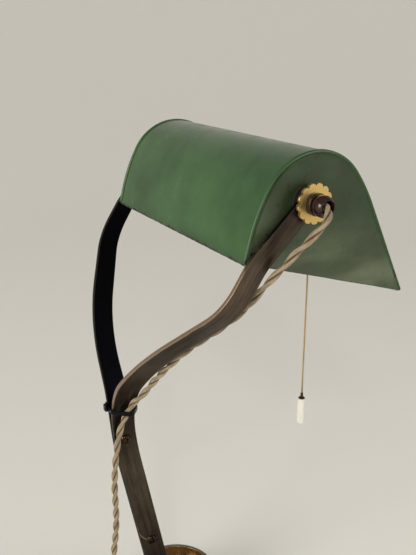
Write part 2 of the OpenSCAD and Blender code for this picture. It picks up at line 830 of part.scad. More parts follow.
// Collar and ball, with a flared mouth for the flex
module cord_bush() {
    edge = 1;
    collar = 4;
    lip = 0.6;
    seat = -nipple_to - bush_x;
    shoulder = -lead_route[0][0] - bush_x;
    bore = flex_d / 2 - bush_step;
    mouth = flex_d / 2 + bush_flare;
    ball = bush_ball_d / 2;
    open = asin((mouth + lip) / ball);
    mid = bush_l - ball * cos(open);
    outline = concat(
        [[nipple_d / 2 + lie_gap, 0], [bush_collar_d / 2 - edge, 0], [bush_collar_d / 2, edge]],
        arc([bush_collar_d / 2 - edge, collar - edge], edge, 0, 90, 4),
        arc([0, mid], ball, -asin((mid - collar) / ball), 90 - open, 10),
        [[mouth, bush_l], [flex_d / 2 + 2 * clear_gap, shoulder], [bore, shoulder]],
        [[bore, seat], [nipple_d / 2 + lie_gap, seat]]
    );
    color([0.22, 0.09, 0.05]) on_pivot(-bush_x) mirror([0, 0, 1])
        rotate_extrude() polygon(outline);
}

// Stud of the far pivot, with its head inside the shade
module far_stud() {
    color([0.70, 0.55, 0.25]) on_pivot(plate_in_x) {
        cylinder(d = nipple_d, h = thumb_x + thumb_t + stud_past - plate_in_x);
        translate([0, 0, -stud_head_h]) cylinder(d = stud_head_d, h = stud_head_h);
    }
}

// A scalloped nut with eased edges
module thumb_nut() {
    lobe = 3.1;
    web = 0.5;
    ease = 1.2;
    over = 0.2;
    on = thumb_d / 2 - lobe;
    r = thumb_d / 2;
    difference() {
        intersection() {
            linear_extrude(thumb_t) union() {
                circle(on + web);
                for (i = [0:lobes - 1])
                    rotate(360 * i / lobes) translate([on, 0]) circle(lobe);
            }
            rotate_extrude() polygon([
                [0, 0], [r - ease, 0], [r + over, ease + over],
                [r + over, thumb_t - ease - over], [r - ease, thumb_t], [0, thumb_t]
            ]);
        }
        translate([0, 0, -cut]) cylinder(d = nipple_d + 2 * run_gap, h = thumb_t + 2 * cut);
    }
}

module cord_thumb_nut() {
    color([0.78, 0.60, 0.25]) on_pivot(-thumb_x - thumb_t) thumb_nut();
}

module far_thumb_nut() {
    color([0.78, 0.60, 0.25]) on_pivot(thumb_x) thumb_nut();
}

// Brass cap that the nipple screws into, with a skirt over the barrel
module holder_cap() {
    d = cap_shell_d;
    neck = holder_neck_d;
    inner = nipple_d + 2 * lie_gap;
    floor_z = holder_neck_l + holder_end_t;
    to = floor_z + holder_skirt_l;
    outline = [
        [inner / 2, 0], [neck / 2, 0], [neck / 2, holder_neck_l - cap_wall],
        [d / 2 - holder_end_t, holder_neck_l], [d / 2, floor_z], [d / 2, to],
        [d / 2 - cap_wall, to], [d / 2 - cap_wall, floor_z], [inner / 2, floor_z]
    ];
    color([0.72, 0.57, 0.27]) on_pivot(holder_x + lock_nut_t) rotate_extrude() polygon(outline);
}

// Barrel with two bayonet slots that turn at their ends
module holder_barrel() {
    pin_z = bulb_from + bulb_pin_at - barrel_from;
    slot_half = asin((slot_w + clear_gap) / barrel_in_d);
    color([0.72, 0.57, 0.27]) on_pivot(holder_x + barrel_from) difference() {
        ring(barrel_d, barrel_in_d, barrel_l);
        for (side = [0, 180]) rotate(side) {
            rotate(slot_turn) translate([0, -slot_w / 2, pin_z])
                cube([barrel_d, slot_w, barrel_l]);
            translate([0, 0, pin_z - slot_w / 2]) rotate(-slot_half)
                rotate_extrude(angle = slot_turn + 2 * slot_half) translate([barrel_d / 4, 0])
                    square([barrel_d / 2, slot_w]);
        }
    }
}

module holder_ring() {
    rim = gallery_rim;
    outline = [
        [barrel_d / 2 + lie_gap, 0], [gallery_d / 2, 0], [gallery_d / 2, rim],
        [barrel_d / 2 + rim, rim], [barrel_d / 2 + rim, gallery_t],
        [barrel_d / 2 + lie_gap, gallery_t]
    ];
    color([0.72, 0.57, 0.27]) on_pivot(holder_x + gallery_from) rotate_extrude() polygon(outline);
}

// The two contact places, across the shade's axis
module at_contacts() {
    for (side = [-1, 1])
        translate([0, side * contact_gap / 2, 0]) children();
}

module holder_core() {
    color([0.90, 0.88, 0.82]) on_pivot(holder_x + core_from) difference() {
        cylinder(d = core_d, h = core_l);
        at_contacts() translate([0, 0, core_l - contact_deep])
            cylinder(d = contact_d + 2 * lie_gap, h = contact_deep + cut);
    }
}

module holder_contacts() {
    color([0.75, 0.60, 0.30]) on_pivot(holder_x + core_to - contact_deep)
        at_contacts() cylinder(d = contact_d, h = contact_deep + contact_out);
}

// Frame at the plunger, z up from the height of the pivot line
module at_pull() {
    translate([pull_x, pull_y, pivot_z]) children();
}

// Bakelite block, saddled on the barrel, with the plunger's chamber
module switch_housing() {
    deep = pull_front + housing_deep / 2 - housing_saddle;
    color([0.14, 0.07, 0.04]) difference() {
        at_pull() translate([-housing_w / 2, -housing_deep / 2, -housing_h / 2])
            cube([housing_w, deep, housing_h]);
        on_pivot(pull_x - housing_w) cylinder(d = barrel_d + 2 * lie_gap, h = 2 * housing_w);
        at_pull() {
            translate([0, 0, chamber_floor])
                cylinder(d = plunger_head_d + 2 * clear_gap, h = chamber_h);
            translate([0, 0, -housing_h])
                cylinder(d = plunger_d + 2 * run_gap, h = housing_h);
        }
    }
}

// A ring of wire round z
module wire_ring(r, wire) {
    rotate_extrude() translate([r, 0]) circle(d = wire);
}

// Sliding rod with a head in the chamber and an eye for the pull cord
module switch_plunger() {
    color([0.72, 0.57, 0.27]) at_pull() {
        translate([0, 0, plunger_head_z]) cylinder(d = plunger_head_d, h = plunger_head_t);
        translate([0, 0, eye_z + eye_r]) cylinder(d = plunger_d, h = plunger_head_z - eye_z - eye_r);
        translate([0, 0, eye_z]) rotate([90, 0, 0]) wire_ring(eye_r, eye_wire);
    }
}

module pull_cord() {
    color([0.62, 0.46, 0.24]) at_pull() {
        translate([0, 0, loop_z]) rotate([0, 90, 0]) wire_ring(loop_r, loop_wire);
        translate([0, 0, knot_z]) sphere(knot_r);
        translate([0, 0, pull_end_z]) cylinder(d = pull_d, h = pull_l);
    }
}

module pull_ferrule() {
    color([0.20, 0.15, 0.10]) at_pull() translate([0, 0, pull_end_z])
        ring(ferrule_d, pull_d + 2 * lie_gap, ferrule_l);
}

module pull_knob() {
    r = pull_knob_d / 2;
    l = pull_knob_l;
    outline = concat(
        [[0, -l]],
        arc([r - pull_edge, pull_edge - l], pull_edge, -90, 0, 4),
        arc([r - pull_edge, -pull_edge], pull_edge, 0, 90, 4),
        [[0, 0]]
    );
    color([0.93, 0.92, 0.88]) at_pull() translate([0, 0, pull_end_z])
        rotate_extrude() polygon(outline);
}

// Outline of the bulb's glass, drawn in by a wall
function glass_outline(w) = let (
        r = bulb_d / 2 - w,
        c = glass_in + bulb_l - bulb_d / 2,
        neck = glass_neck_d / 2 - w)
    concat([[0, 0], [neck, 0], [neck, glass_in + glass_neck_l]],
        arc([0, c], r, glass_low, 90, 16), [[0, c]]);

module bulb_glass() {
    from = holder_x + bulb_from + bulb_cap_l - glass_in;
    color([0.95, 0.95, 0.92]) on_pivot(from) difference() {
        rotate_extrude() polygon(glass_outline(0));
        translate([0, 0, -cut]) cylinder(d = glass_neck_d - 2 * glass_t, h = 2 * cut);
        rotate_extrude() polygon(glass_outline(glass_t));
    }
}

module bulb_cap() {
    color([0.78, 0.70, 0.45]) on_pivot(holder_x + bulb_from) {
        translate([0, 0, seal_t]) ring(cap_d, cap_d - 2 * bulb_cap_t, bulb_cap_l - seal_t);
        for (side = [0, 180]) rotate(side) translate([0, 0, bulb_pin_at]) rotate([0, 90, 0])
            translate([0, 0, cap_d / 2 - bulb_cap_t])
                cylinder(d = bulb_pin_d, h = bulb_cap_t + bulb_pin_out);
    }
}

module bulb_seal() {
    color([0.08, 0.08, 0.10]) on_pivot(holder_x + bulb_from) {
        cylinder(d = cap_d - 2 * cap_curl, h = seal_t);
        translate([0, 0, seal_t]) cylinder(d = glass_neck_d, h = seal_in);
    }
}

// A tube along a route
module tube(route, d, sides, start) {
    polyhedron(
        tube_points(route, d / 2, sides, start),
        tube_faces(len(route), sides)
    );
}

module flex_lead() {
    color([0.85, 0.78, 0.62]) tube(lead_route, flex_d, flex_sides, [0, 0, 1]);
}

module flex_coil() {
    color([0.85, 0.78, 0.62]) tube(coil_route, flex_d, coil_sides, [0, 0, 1]);
}

// Strap round the coil's turns
module coil_tie() {
    in = coil_min - flex_d / 2 - clear_gap - coil_tie_t;
    out = coil_r + flex_d / 2 + clear_gap + coil_tie_t;
    high = coil_z + coil_pitch + flex_d / 2 + clear_gap + coil_tie_t;
    color([0.06, 0.06, 0.06]) translate(concat(coil_mid, 0)) rotate(coil_tie_at)
        translate([in, -coil_tie_w / 2, 0]) difference() {
            cube([out - in, coil_tie_w, high]);
            translate([coil_tie_t, -cut, coil_tie_t])
                cube([out - in - 2 * coil_tie_t, coil_tie_w + 2 * cut, high - 2 * coil_tie_t]);
        }
}

module flex_tail() {
    color([0.85, 0.78, 0.62]) tube(tail_route, flex_d, flex_sides, [0, 0, 1]);
}

// Frame at the plug's cord entry, z pointing to the pins
module at_plug() {
    translate(tail_route[len(tail_route) - 1]) rotate([90, 0, 0]) children();
}

module plug_collar() {
    color([0.16, 0.08, 0.05]) at_plug()
        cylinder(d1 = plug_neck_d, d2 = plug_neck_d + 2 * plug_neck_flare, h = plug_neck_l);
}

module plug_body() {
    r = plug_d / 2;
    outline = concat(
        [[0, 0]],
        arc([r - plug_edge, plug_edge], plug_edge, -90, 0),
        arc([r - plug_ease, plug_l - plug_ease], plug_ease, 0, 90, 4),
        [[0, plug_l]]
    );
    color([0.16, 0.08, 0.05]) at_plug() translate([0, 0, plug_neck_l])
        rotate_extrude() polygon(outline);
}

module plug_pins() {
    color([0.75, 0.60, 0.30]) at_plug()
        for (side = [-1, 1])
            translate([side * plug_pin_gap / 2, 0, plug_neck_l + plug_l])
                cylinder(d = plug_pin_d, h = plug_pin_l);
}

base_casting();
base_felt();
foot_screws();
cord_arm();
far_arm();
stem_screws();
stem_nuts();
cable_tie();
shade_sheet();
cord_end_plate();
far_end_plate();
friction_washers();
pivot_nipple();
lock_nut();
cord_bush();
far_stud();
cord_thumb_nut();
far_thumb_nut();
holder_cap();
holder_barrel();
holder_ring();
holder_core();
holder_contacts();
switch_housing();
switch_plunger();
pull_cord();
pull_ferrule();
pull_knob();
bulb_glass();
bulb_cap();
bulb_seal();
flex_lead();
flex_coil();
coil_tie();
flex_tail();
plug_collar();
plug_body();
plug_pins();
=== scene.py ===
"""Looks of a desk lamp with an enamelled trough shade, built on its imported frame.

Every piece is worked out in millimetres in the lamp's own frame: x runs along the shade and away from
the flex, -y is the front and z is up from the table. Meshes are stored in metres.
"""

from __future__ import annotations

import json
import logging
import math
from dataclasses import dataclass, field, replace
from enum import Enum
from typing import Callable, Sequence, Union

import bpy
import numpy as np
from mathutils import Euler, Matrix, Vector

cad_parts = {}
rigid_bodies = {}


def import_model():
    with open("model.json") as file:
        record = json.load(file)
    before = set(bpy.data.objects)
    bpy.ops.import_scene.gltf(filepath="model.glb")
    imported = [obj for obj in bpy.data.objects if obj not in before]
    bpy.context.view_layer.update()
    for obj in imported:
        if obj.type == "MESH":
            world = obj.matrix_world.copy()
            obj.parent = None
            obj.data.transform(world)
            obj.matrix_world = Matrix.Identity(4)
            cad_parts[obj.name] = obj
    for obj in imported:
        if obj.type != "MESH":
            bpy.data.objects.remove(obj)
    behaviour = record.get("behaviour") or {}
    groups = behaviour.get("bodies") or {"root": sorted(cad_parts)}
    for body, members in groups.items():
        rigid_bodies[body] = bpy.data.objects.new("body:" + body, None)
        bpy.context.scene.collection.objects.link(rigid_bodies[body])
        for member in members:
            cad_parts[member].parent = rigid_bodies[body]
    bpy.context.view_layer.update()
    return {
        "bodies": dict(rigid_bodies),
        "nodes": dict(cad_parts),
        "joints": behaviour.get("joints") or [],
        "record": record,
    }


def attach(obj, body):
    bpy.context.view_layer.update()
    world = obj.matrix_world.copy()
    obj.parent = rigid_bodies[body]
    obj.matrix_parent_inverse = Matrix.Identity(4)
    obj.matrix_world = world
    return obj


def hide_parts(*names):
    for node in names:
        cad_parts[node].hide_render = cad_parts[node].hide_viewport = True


LOG = logging.getLogger("desk_lamp")
MM = 0.001
TURN = 2 * math.pi
SHARP_ANGLE = math.radians(38)
POLE_R = 0.05  # least radius of a turned profile
BEND_STEP = 3.0  # degrees between the points of a bend
SIDE_SHARE = 0.49  # share of a side that a fillet may take
FINE_PER_MM = 4  # points in a millimetre of a curve before it is evened out
TINY = 1e-6

Colour = tuple[float, float, float]
Numbers = Union[float, np.ndarray]
Socket = bpy.types.NodeSocket
Value = Union[Socket, float, Colour]


class Body(Enum):
    """The moving bodies that pieces ride on."""

    STAND = "stand"
    SHADE = "shade"
    CORD_NUT = "cord_nut"
    FAR_NUT = "far_nut"
    PULL = "pull"


class Axis(Enum):
    """Directions that a turned piece can point in, as (across, across, along) unit vectors."""

    UP = ((1, 0, 0), (0, 1, 0), (0, 0, 1))
    TO_CORD_END = ((0, 0, 1), (0, 1, 0), (-1, 0, 0))


def angles(start: float, end: float, count: int) -> np.ndarray:
    """Evenly spaced angles between two in degrees, in radians."""
    return np.radians(np.linspace(start, end, count))


def circle(count: int) -> np.ndarray:
    """Angles of points evenly spaced round a circle."""
    return np.linspace(0, TURN, count, endpoint=False)


def ray(a: Numbers) -> np.ndarray:
    """Unit vectors (cos(a), sin(a))."""
    return np.stack([np.cos(a), np.sin(a)], -1)


def stacked(*parts: Numbers) -> np.ndarray:
    """Points from their coordinates, each spread over the shape of all."""
    return np.stack(np.broadcast_arrays(*parts), -1)


def fade(distance: np.ndarray, reach: float) -> np.ndarray:
    """1 at no distance, falling evenly to 0 at the reach."""
    return np.clip(1 - distance / reach, 0, 1)


def turned(points: np.ndarray, degrees: float) -> np.ndarray:
    """Turn points of a plane about its origin.

    Args:
        points: Array whose last axis holds two coordinates.
        degrees: Angle, left for values above zero.

    Returns:
        Array of the same shape.
    """
    a = math.radians(degrees)
    return points @ np.array([[math.cos(a), math.sin(a)], [-math.sin(a), math.cos(a)]])


@dataclass(frozen=True)
class Straight:
    """A straight stretch of a path."""

    length: float

    def sample(self, t: np.ndarray) -> tuple[np.ndarray, np.ndarray]:
        """Points and turns at shares t of the stretch, from its start along x."""
        return np.stack([self.length * t, 0 * t], -1), 0 * t

    def size(self) -> float:
        """Length of the stretch."""
        return self.length


@dataclass(frozen=True)
class Bend:
    """A bend of a path, to the left for a turn above zero."""

    radius: float
    turn: float

    def sample(self, t: np.ndarray) -> tuple[np.ndarray, np.ndarray]:
        """Points and turns at shares t of the bend: r sin(a), and r (1 - cos(a)) to its side.

        Args:
            t: Shares of the bend.

        Returns:
            Points from its start along x, and the turn at each in degrees.
        """
        a = np.radians(self.turn) * t
        side = math.copysign(1.0, self.turn)
        local = np.stack([self.radius * np.sin(np.abs(a)), side * self.radius * (1 - np.cos(a))], -1)
        return local, self.turn * t

    def size(self) -> float:
        """Length of the bend."""
        return self.radius * math.radians(abs(self.turn))


Segment = Union[Straight, Bend]


@dataclass
class Trace:
    """Points along a flat path, with the heading and the length run at each."""

    points: np.ndarray
    heading: np.ndarray
    run: np.ndarray

    def beside(self, offset: float) -> np.ndarray:
        """Points at an offset to the left of the path."""
        return self.points + offset * ray(np.radians(self.heading) + math.pi / 2)

    def part(self, lo: float, hi: float) -> "Trace":
        """The stretch of the path between two run lengths."""
        keep = (self.run >= lo) & (self.run <= hi)
        return Trace(self.points[keep], self.heading[keep], self.run[keep])


def trace(path: Sequence[Segment], start: Sequence[float], heading: float, step: float) -> Trace:
    """Walk a path of straights and bends.

    Args:
        path: The stretches in order.
        start: Where the path starts, in its plane.
        heading: Direction at the start, in degrees.
        step: Largest distance between points; a bend may need them closer.

    Returns:
        The points, headings and run lengths along the path.
    """
    at, run = np.array(start, float), 0.0
    points, headings, runs = [], [], []
    for piece in path:
        turn = abs(piece.turn) / BEND_STEP if isinstance(piece, Bend) else 0
        count = max(2, math.ceil(max(piece.size() / step, turn)) + 1)
        t = np.linspace(0, 1, count)
        local, turns = piece.sample(t)
        world = at + turned(local, heading)
        keep = slice(None) if piece is path[-1] else slice(0, -1)
        points.append(world[keep])
        headings.append((heading + turns)[keep])
        runs.append((run + piece.size() * t)[keep])
        at, heading, run = world[-1], heading + turns[-1], run + piece.size()
    return Trace(np.concatenate(points), np.concatenate(headings), np.concatenate(runs))


def filleted(corners: Sequence[tuple[float, float, float]], steps: int) -> np.ndarray:
    """Round the corners of an open outline with arcs that touch both of its sides.

    Args:
        corners: (x, y, radius) of each corner; the first and the last stay sharp.
        steps: Number of chords in each arc.

    Returns:
        Points of the rounded outline.
    """
    p = np.array(corners, float)
    out = [p[:1, :2]]
    for before, here, after in zip(p[:-2], p[1:-1], p[2:]):
        a, b = before[:2] - here[:2], after[:2] - here[:2]
        la, lb = np.linalg.norm(a), np.linalg.norm(b)
        a, b = a / la, b / lb
        half = math.acos(float(np.clip(a @ b, -1, 1))) / 2
        reach = min(here[2] / max(math.tan(half), TINY), SIDE_SHARE * la, SIDE_SHARE * lb)
        if reach < TINY:
            out.append(here[None, :2])
            continue
        t = np.linspace(0, 1, steps + 1)[:, None]
        middle = here[:2] + (a + b) / np.linalg.norm(a + b) * reach / math.cos(half)
        radius = reach * math.tan(half)
        rays = (1 - t) * (here[:2] + a * reach - middle) + t * (here[:2] + b * reach - middle)
        out.append(middle + radius * rays / np.linalg.norm(rays, axis=1, keepdims=True))
    out.append(p[-1:, :2])
    return np.concatenate(out)


def grid_faces(rows: int, cols: int, ring: bool) -> np.ndarray:
    """Quads of a grid of points, row after row, where each row closes on itself.

    Args:
        rows: Number of rows.
        cols: Number of points in a row.
        ring: Whether the last row joins the first.

    Returns:
        Array of quads, four indices each.
    """
    i, j = np.meshgrid(np.arange(rows if ring else rows - 1), np.arange(cols), indexing="ij")
    down, on = (i + 1) % rows, (j + 1) % cols
    quads = np.stack([i * cols + j, i * cols + on, down * cols + on, down * cols + j], -1)
    return quads.reshape(-1, 4)


@dataclass
class Surface:
    """Points and faces of one piece, row after row of a grid, with a UV map and values on its points."""

    points: np.ndarray
    quads: np.ndarray
    caps: list[np.ndarray]
    uv: np.ndarray
    shape: tuple[int, int]
    values: dict[str, np.ndarray] = field(default_factory=dict)

    def marked(self, **values: Numbers) -> "Surface":
        """Keep values on the points, each spread over the grid."""
        self.values = {key: np.broadcast_to(v, self.shape).reshape(-1) for key, v in values.items()}
        return self

    def mapped(self, u: Numbers, v: Numbers) -> "Surface":
        """Set the UV map from two coordinates, spread over the grid."""
        self.uv = stacked(u, v).reshape(-1, 2)
        return self

    def joined(self, other: "Surface") -> "Surface":
        """This surface and another one in one mesh; both have the same kinds of values.

        Args:
            other: The other surface.

        Returns:
            One surface with the points and faces of both.
        """
        n = len(self.points)
        return Surface(
            np.concatenate([self.points, other.points]),
            np.concatenate([self.quads, other.quads + n]),
            self.caps + [c + n for c in other.caps],
            np.concatenate([self.uv, other.uv]),
            (n + len(other.points), 1),
            {key: np.concatenate([v, other.values[key]]) for key, v in self.values.items()},
        )

    def flipped(self) -> "Surface":
        """The same surface with its faces turned over."""
        return replace(self, quads=self.quads[:, ::-1], caps=[c[::-1] for c in self.caps])

    def mirrored(self) -> "Surface":
        """The surface on the other side of x = 0."""
        return replace(self, points=self.points * [-1, 1, 1]).flipped()

    def mesh(self, name: str) -> bpy.types.Mesh:
        """The surface as a smooth mesh.

        Args:
            name: Name of the mesh.

        Returns:
            The mesh in metres, with its UV map, its values and its sharp edges.
        """
        mesh = bpy.data.meshes.new(name)
        counts = np.concatenate([np.full(len(self.quads), 4), [len(c) for c in self.caps]]).astype(np.int32)
        corners = np.concatenate([self.quads.reshape(-1), *self.caps]).astype(np.int32)
        mesh.vertices.add(len(self.points))
        mesh.vertices.foreach_set("co", (self.points * MM).astype(np.float32).reshape(-1))
        mesh.loops.add(len(corners))
        mesh.loops.foreach_set("vertex_index", corners)
        mesh.polygons.add(len(counts))
        mesh.polygons.foreach_set("loop_start", np.concatenate([[0], np.cumsum(counts)[:-1]]).astype(np.int32))
        mesh.update(calc_edges=True)
        mesh.validate()
        order = np.zeros(len(mesh.loops), np.int32)
        mesh.loops.foreach_get("vertex_index", order)
        layer = mesh.uv_layers.new(name="UVMap")
        layer.data.foreach_set("uv", self.uv[order].astype(np.float32).reshape(-1))
        for key, values in self.values.items():
            store = mesh.attributes.new(key, "FLOAT", "POINT")
            store.data.foreach_set("value", values.astype(np.float32))
        mesh.polygons.foreach_set("use_smooth", np.ones(len(mesh.polygons), bool))
        mesh.set_sharp_from_angle(angle=SHARP_ANGLE)
        return mesh


def lofted(rows: np.ndarray, ring: bool = False) -> Surface:
    """Skin a grid of points, rows first, where each row closes on itself.

    Args:
        rows: Array of rows x columns x 3, in millimetres.
        ring: Whether the last row joins the first; otherwise both get a flat cap.

    Returns:
        The skinned surface, with uv as shares of the rows and columns.
    """
    n, m = rows.shape[:2]
    first, last = np.arange(m), np.arange(m) + (n - 1) * m
    return Surface(
        rows.reshape(-1, 3),
        grid_faces(n, m, ring),
        [] if ring else [first, last[::-1]],
        stacked(np.linspace(0, 1, n)[:, None], np.linspace(0, 1, m)).reshape(-1, 2),
        (n, m),
    )


def arc(middle: Sequence[float], radius: float, start: float, end: float, steps: int = 8) -> np.ndarray:
    """Points of an arc: middle + r (cos(a), sin(a)) between two angles in degrees."""
    return np.array(middle, float) + radius * ray(angles(start, end, steps + 1))


def lathe(profile: np.ndarray, centre: Sequence[float], axis: Axis, count: int, ring: bool = False) -> Surface:
    """Turn a profile about an axis: (r cos(a), r sin(a), z) for each profile point (r, z).

    Args:
        profile: Points (radius, height), in millimetres, from the axis' low end to its high end
            on the outside.
        centre: Where height 0 is.
        axis: Direction of the axis.
        count: Number of points round the axis.
        ring: Whether the profile closes on itself round a bore; otherwise it starts and ends on the axis.

    Returns:
        The turned surface, with the height's share and the angle's share as uv.
    """
    a = circle(count)
    ex, ey, ez = (np.array(e, float) for e in axis.value)
    round_ = np.cos(a)[:, None] * ex + np.sin(a)[:, None] * ey
    r = np.maximum(profile[:, 0], POLE_R)
    rows = np.array(centre, float) + r[:, None, None] * round_ + profile[:, 1, None, None] * ez
    return lofted(rows, ring)


def rounded_box(low: Sequence[float], size: Sequence[float], r: float) -> Surface:
    """A box with rounded edges: rounded rectangles in x and z, stacked along y and drawn in at both ends.

    Args:
        low: Its lowest corner.
        size: Its sizes.
        r: Radius of its edges.

    Returns:
        The closed box.
    """
    turn = ray(angles(0, 360, 33)[:-1] + math.pi / 32)
    half = np.array(size, float) / 2
    t = angles(0, 90, 5)
    shrink = np.concatenate([np.sin(t), np.sin(t)[::-1]]) * r
    y = np.concatenate([-half[1] + r * (1 - np.cos(t)), half[1] - r * (1 - np.cos(t))[::-1]])
    flat = np.sign(turn) * (half[[0, 2]] - r)
    ring = flat[None] + shrink[:, None, None] * turn[None]
    middle = np.array(low, float) + half
    rows = stacked(middle[0] + ring[..., 0], middle[1] + y[:, None], middle[2] + ring[..., 1])
    return lofted(rows)


def belt(posts: Sequence[tuple[float, float, float]], out: float, steps: int = 10) -> np.ndarray:
    """A belt round circles that follow each other to the left: arcs joined by their outer tangents.

    Args:
        posts: (x, y, radius) of each circle.
        out: Distance of the belt outside the circles.
        steps: Number of chords on each circle.

    Returns:
        Points of the belt, the same number for any distance.
    """
    p = np.array(posts, float)
    way = np.roll(p, -1, 0) - p
    faces = np.arctan2(way[:, 1], way[:, 0]) - math.pi / 2 - np.arcsin(way[:, 2] / np.hypot(way[:, 0], way[:, 1]))
    start = np.roll(faces, 1)
    turn = (faces - start) % TURN
    a = start[:, None] + turn[:, None] * np.linspace(0, 1, steps + 1)
    arcs = p[:, None, :2] + (p[:, None, 2:] + out) * ray(a)
    return arcs.reshape(-1, 2)


def swept_tube(line: np.ndarray, radius: float, sides: int, reference: Sequence[float]) -> Surface:
    """A round tube along a line: p + r (cos(a) n + sin(a) b), with n square to the tangent and reference.

    Args:
        line: Points of the middle, in millimetres.
        radius: Radius of the tube.
        sides: Number of points round it.
        reference: A direction that the line never takes.

    Returns:
        The tube, with the run length and the angle's share as uv.
    """
    n, b = framed(line, reference)
    a = circle(sides)
    ring = np.cos(a)[:, None] * n[:, None, :] + np.sin(a)[:, None] * b[:, None, :]
    surface = lofted(line[:, None, :] + radius * ring)
    return surface.mapped(run_of(line)[:, None], a / TURN)


def run_of(line: np.ndarray) -> np.ndarray:
    """Length run along a line at each of its points."""
    return np.concatenate([[0], np.cumsum(np.linalg.norm(np.diff(line, axis=0), axis=1))])


def framed(line: np.ndarray, reference: Sequence[float]) -> tuple[np.ndarray, np.ndarray]:
    """Two directions square to a line and to each other, at each of its points.

    Args:
        line: Points of the line.
        reference: A direction that the line never takes.

    Returns:
        Unit normals and binormals.
    """
    tangent = np.gradient(line, axis=0)
    tangent /= np.linalg.norm(tangent, axis=1, keepdims=True)
    n = np.cross(tangent, np.array(reference, float))
    n /= np.linalg.norm(n, axis=1, keepdims=True)
    return n, np.cross(tangent, n)


def smooth_line(points: np.ndarray, step: float) -> np.ndarray:
    """One smooth curve through points: a cubic in chord length with slopes from the neighbours.

    Args:
        points: Points that the curve passes.
        step: Distance between the points that come back.

    Returns:
        Evenly spaced points along the curve.
    """
    s = run_of(points)
    w = np.diff(s)
    d = np.diff(points, axis=0) / w[:, None]
    inner = (w[1:, None] * d[:-1] + w[:-1, None] * d[1:]) / (w[1:] + w[:-1])[:, None]
    slope = np.concatenate([d[:1], inner, d[-1:]])
    at = np.linspace(0, s[-1], int(s[-1] * FINE_PER_MM))
    i = np.clip(np.searchsorted(s, at, side="right") - 1, 0, len(points) - 2)
    t, h = ((at - s[i]) / w[i])[:, None], w[i][:, None]
    fine = (
        (1 + 2 * t) * (1 - t) ** 2 * points[i]
        + t * (1 - t) ** 2 * h * slope[i]
        + t**2 * (3 - 2 * t) * points[i + 1]
        + t**2 * (t - 1) * h * slope[i + 1]
    )
    run = run_of(fine)
    even = np.linspace(0, run[-1], max(2, round(run[-1] / step)))
    return np.stack([np.interp(even, run, axis) for axis in fine.T], -1)


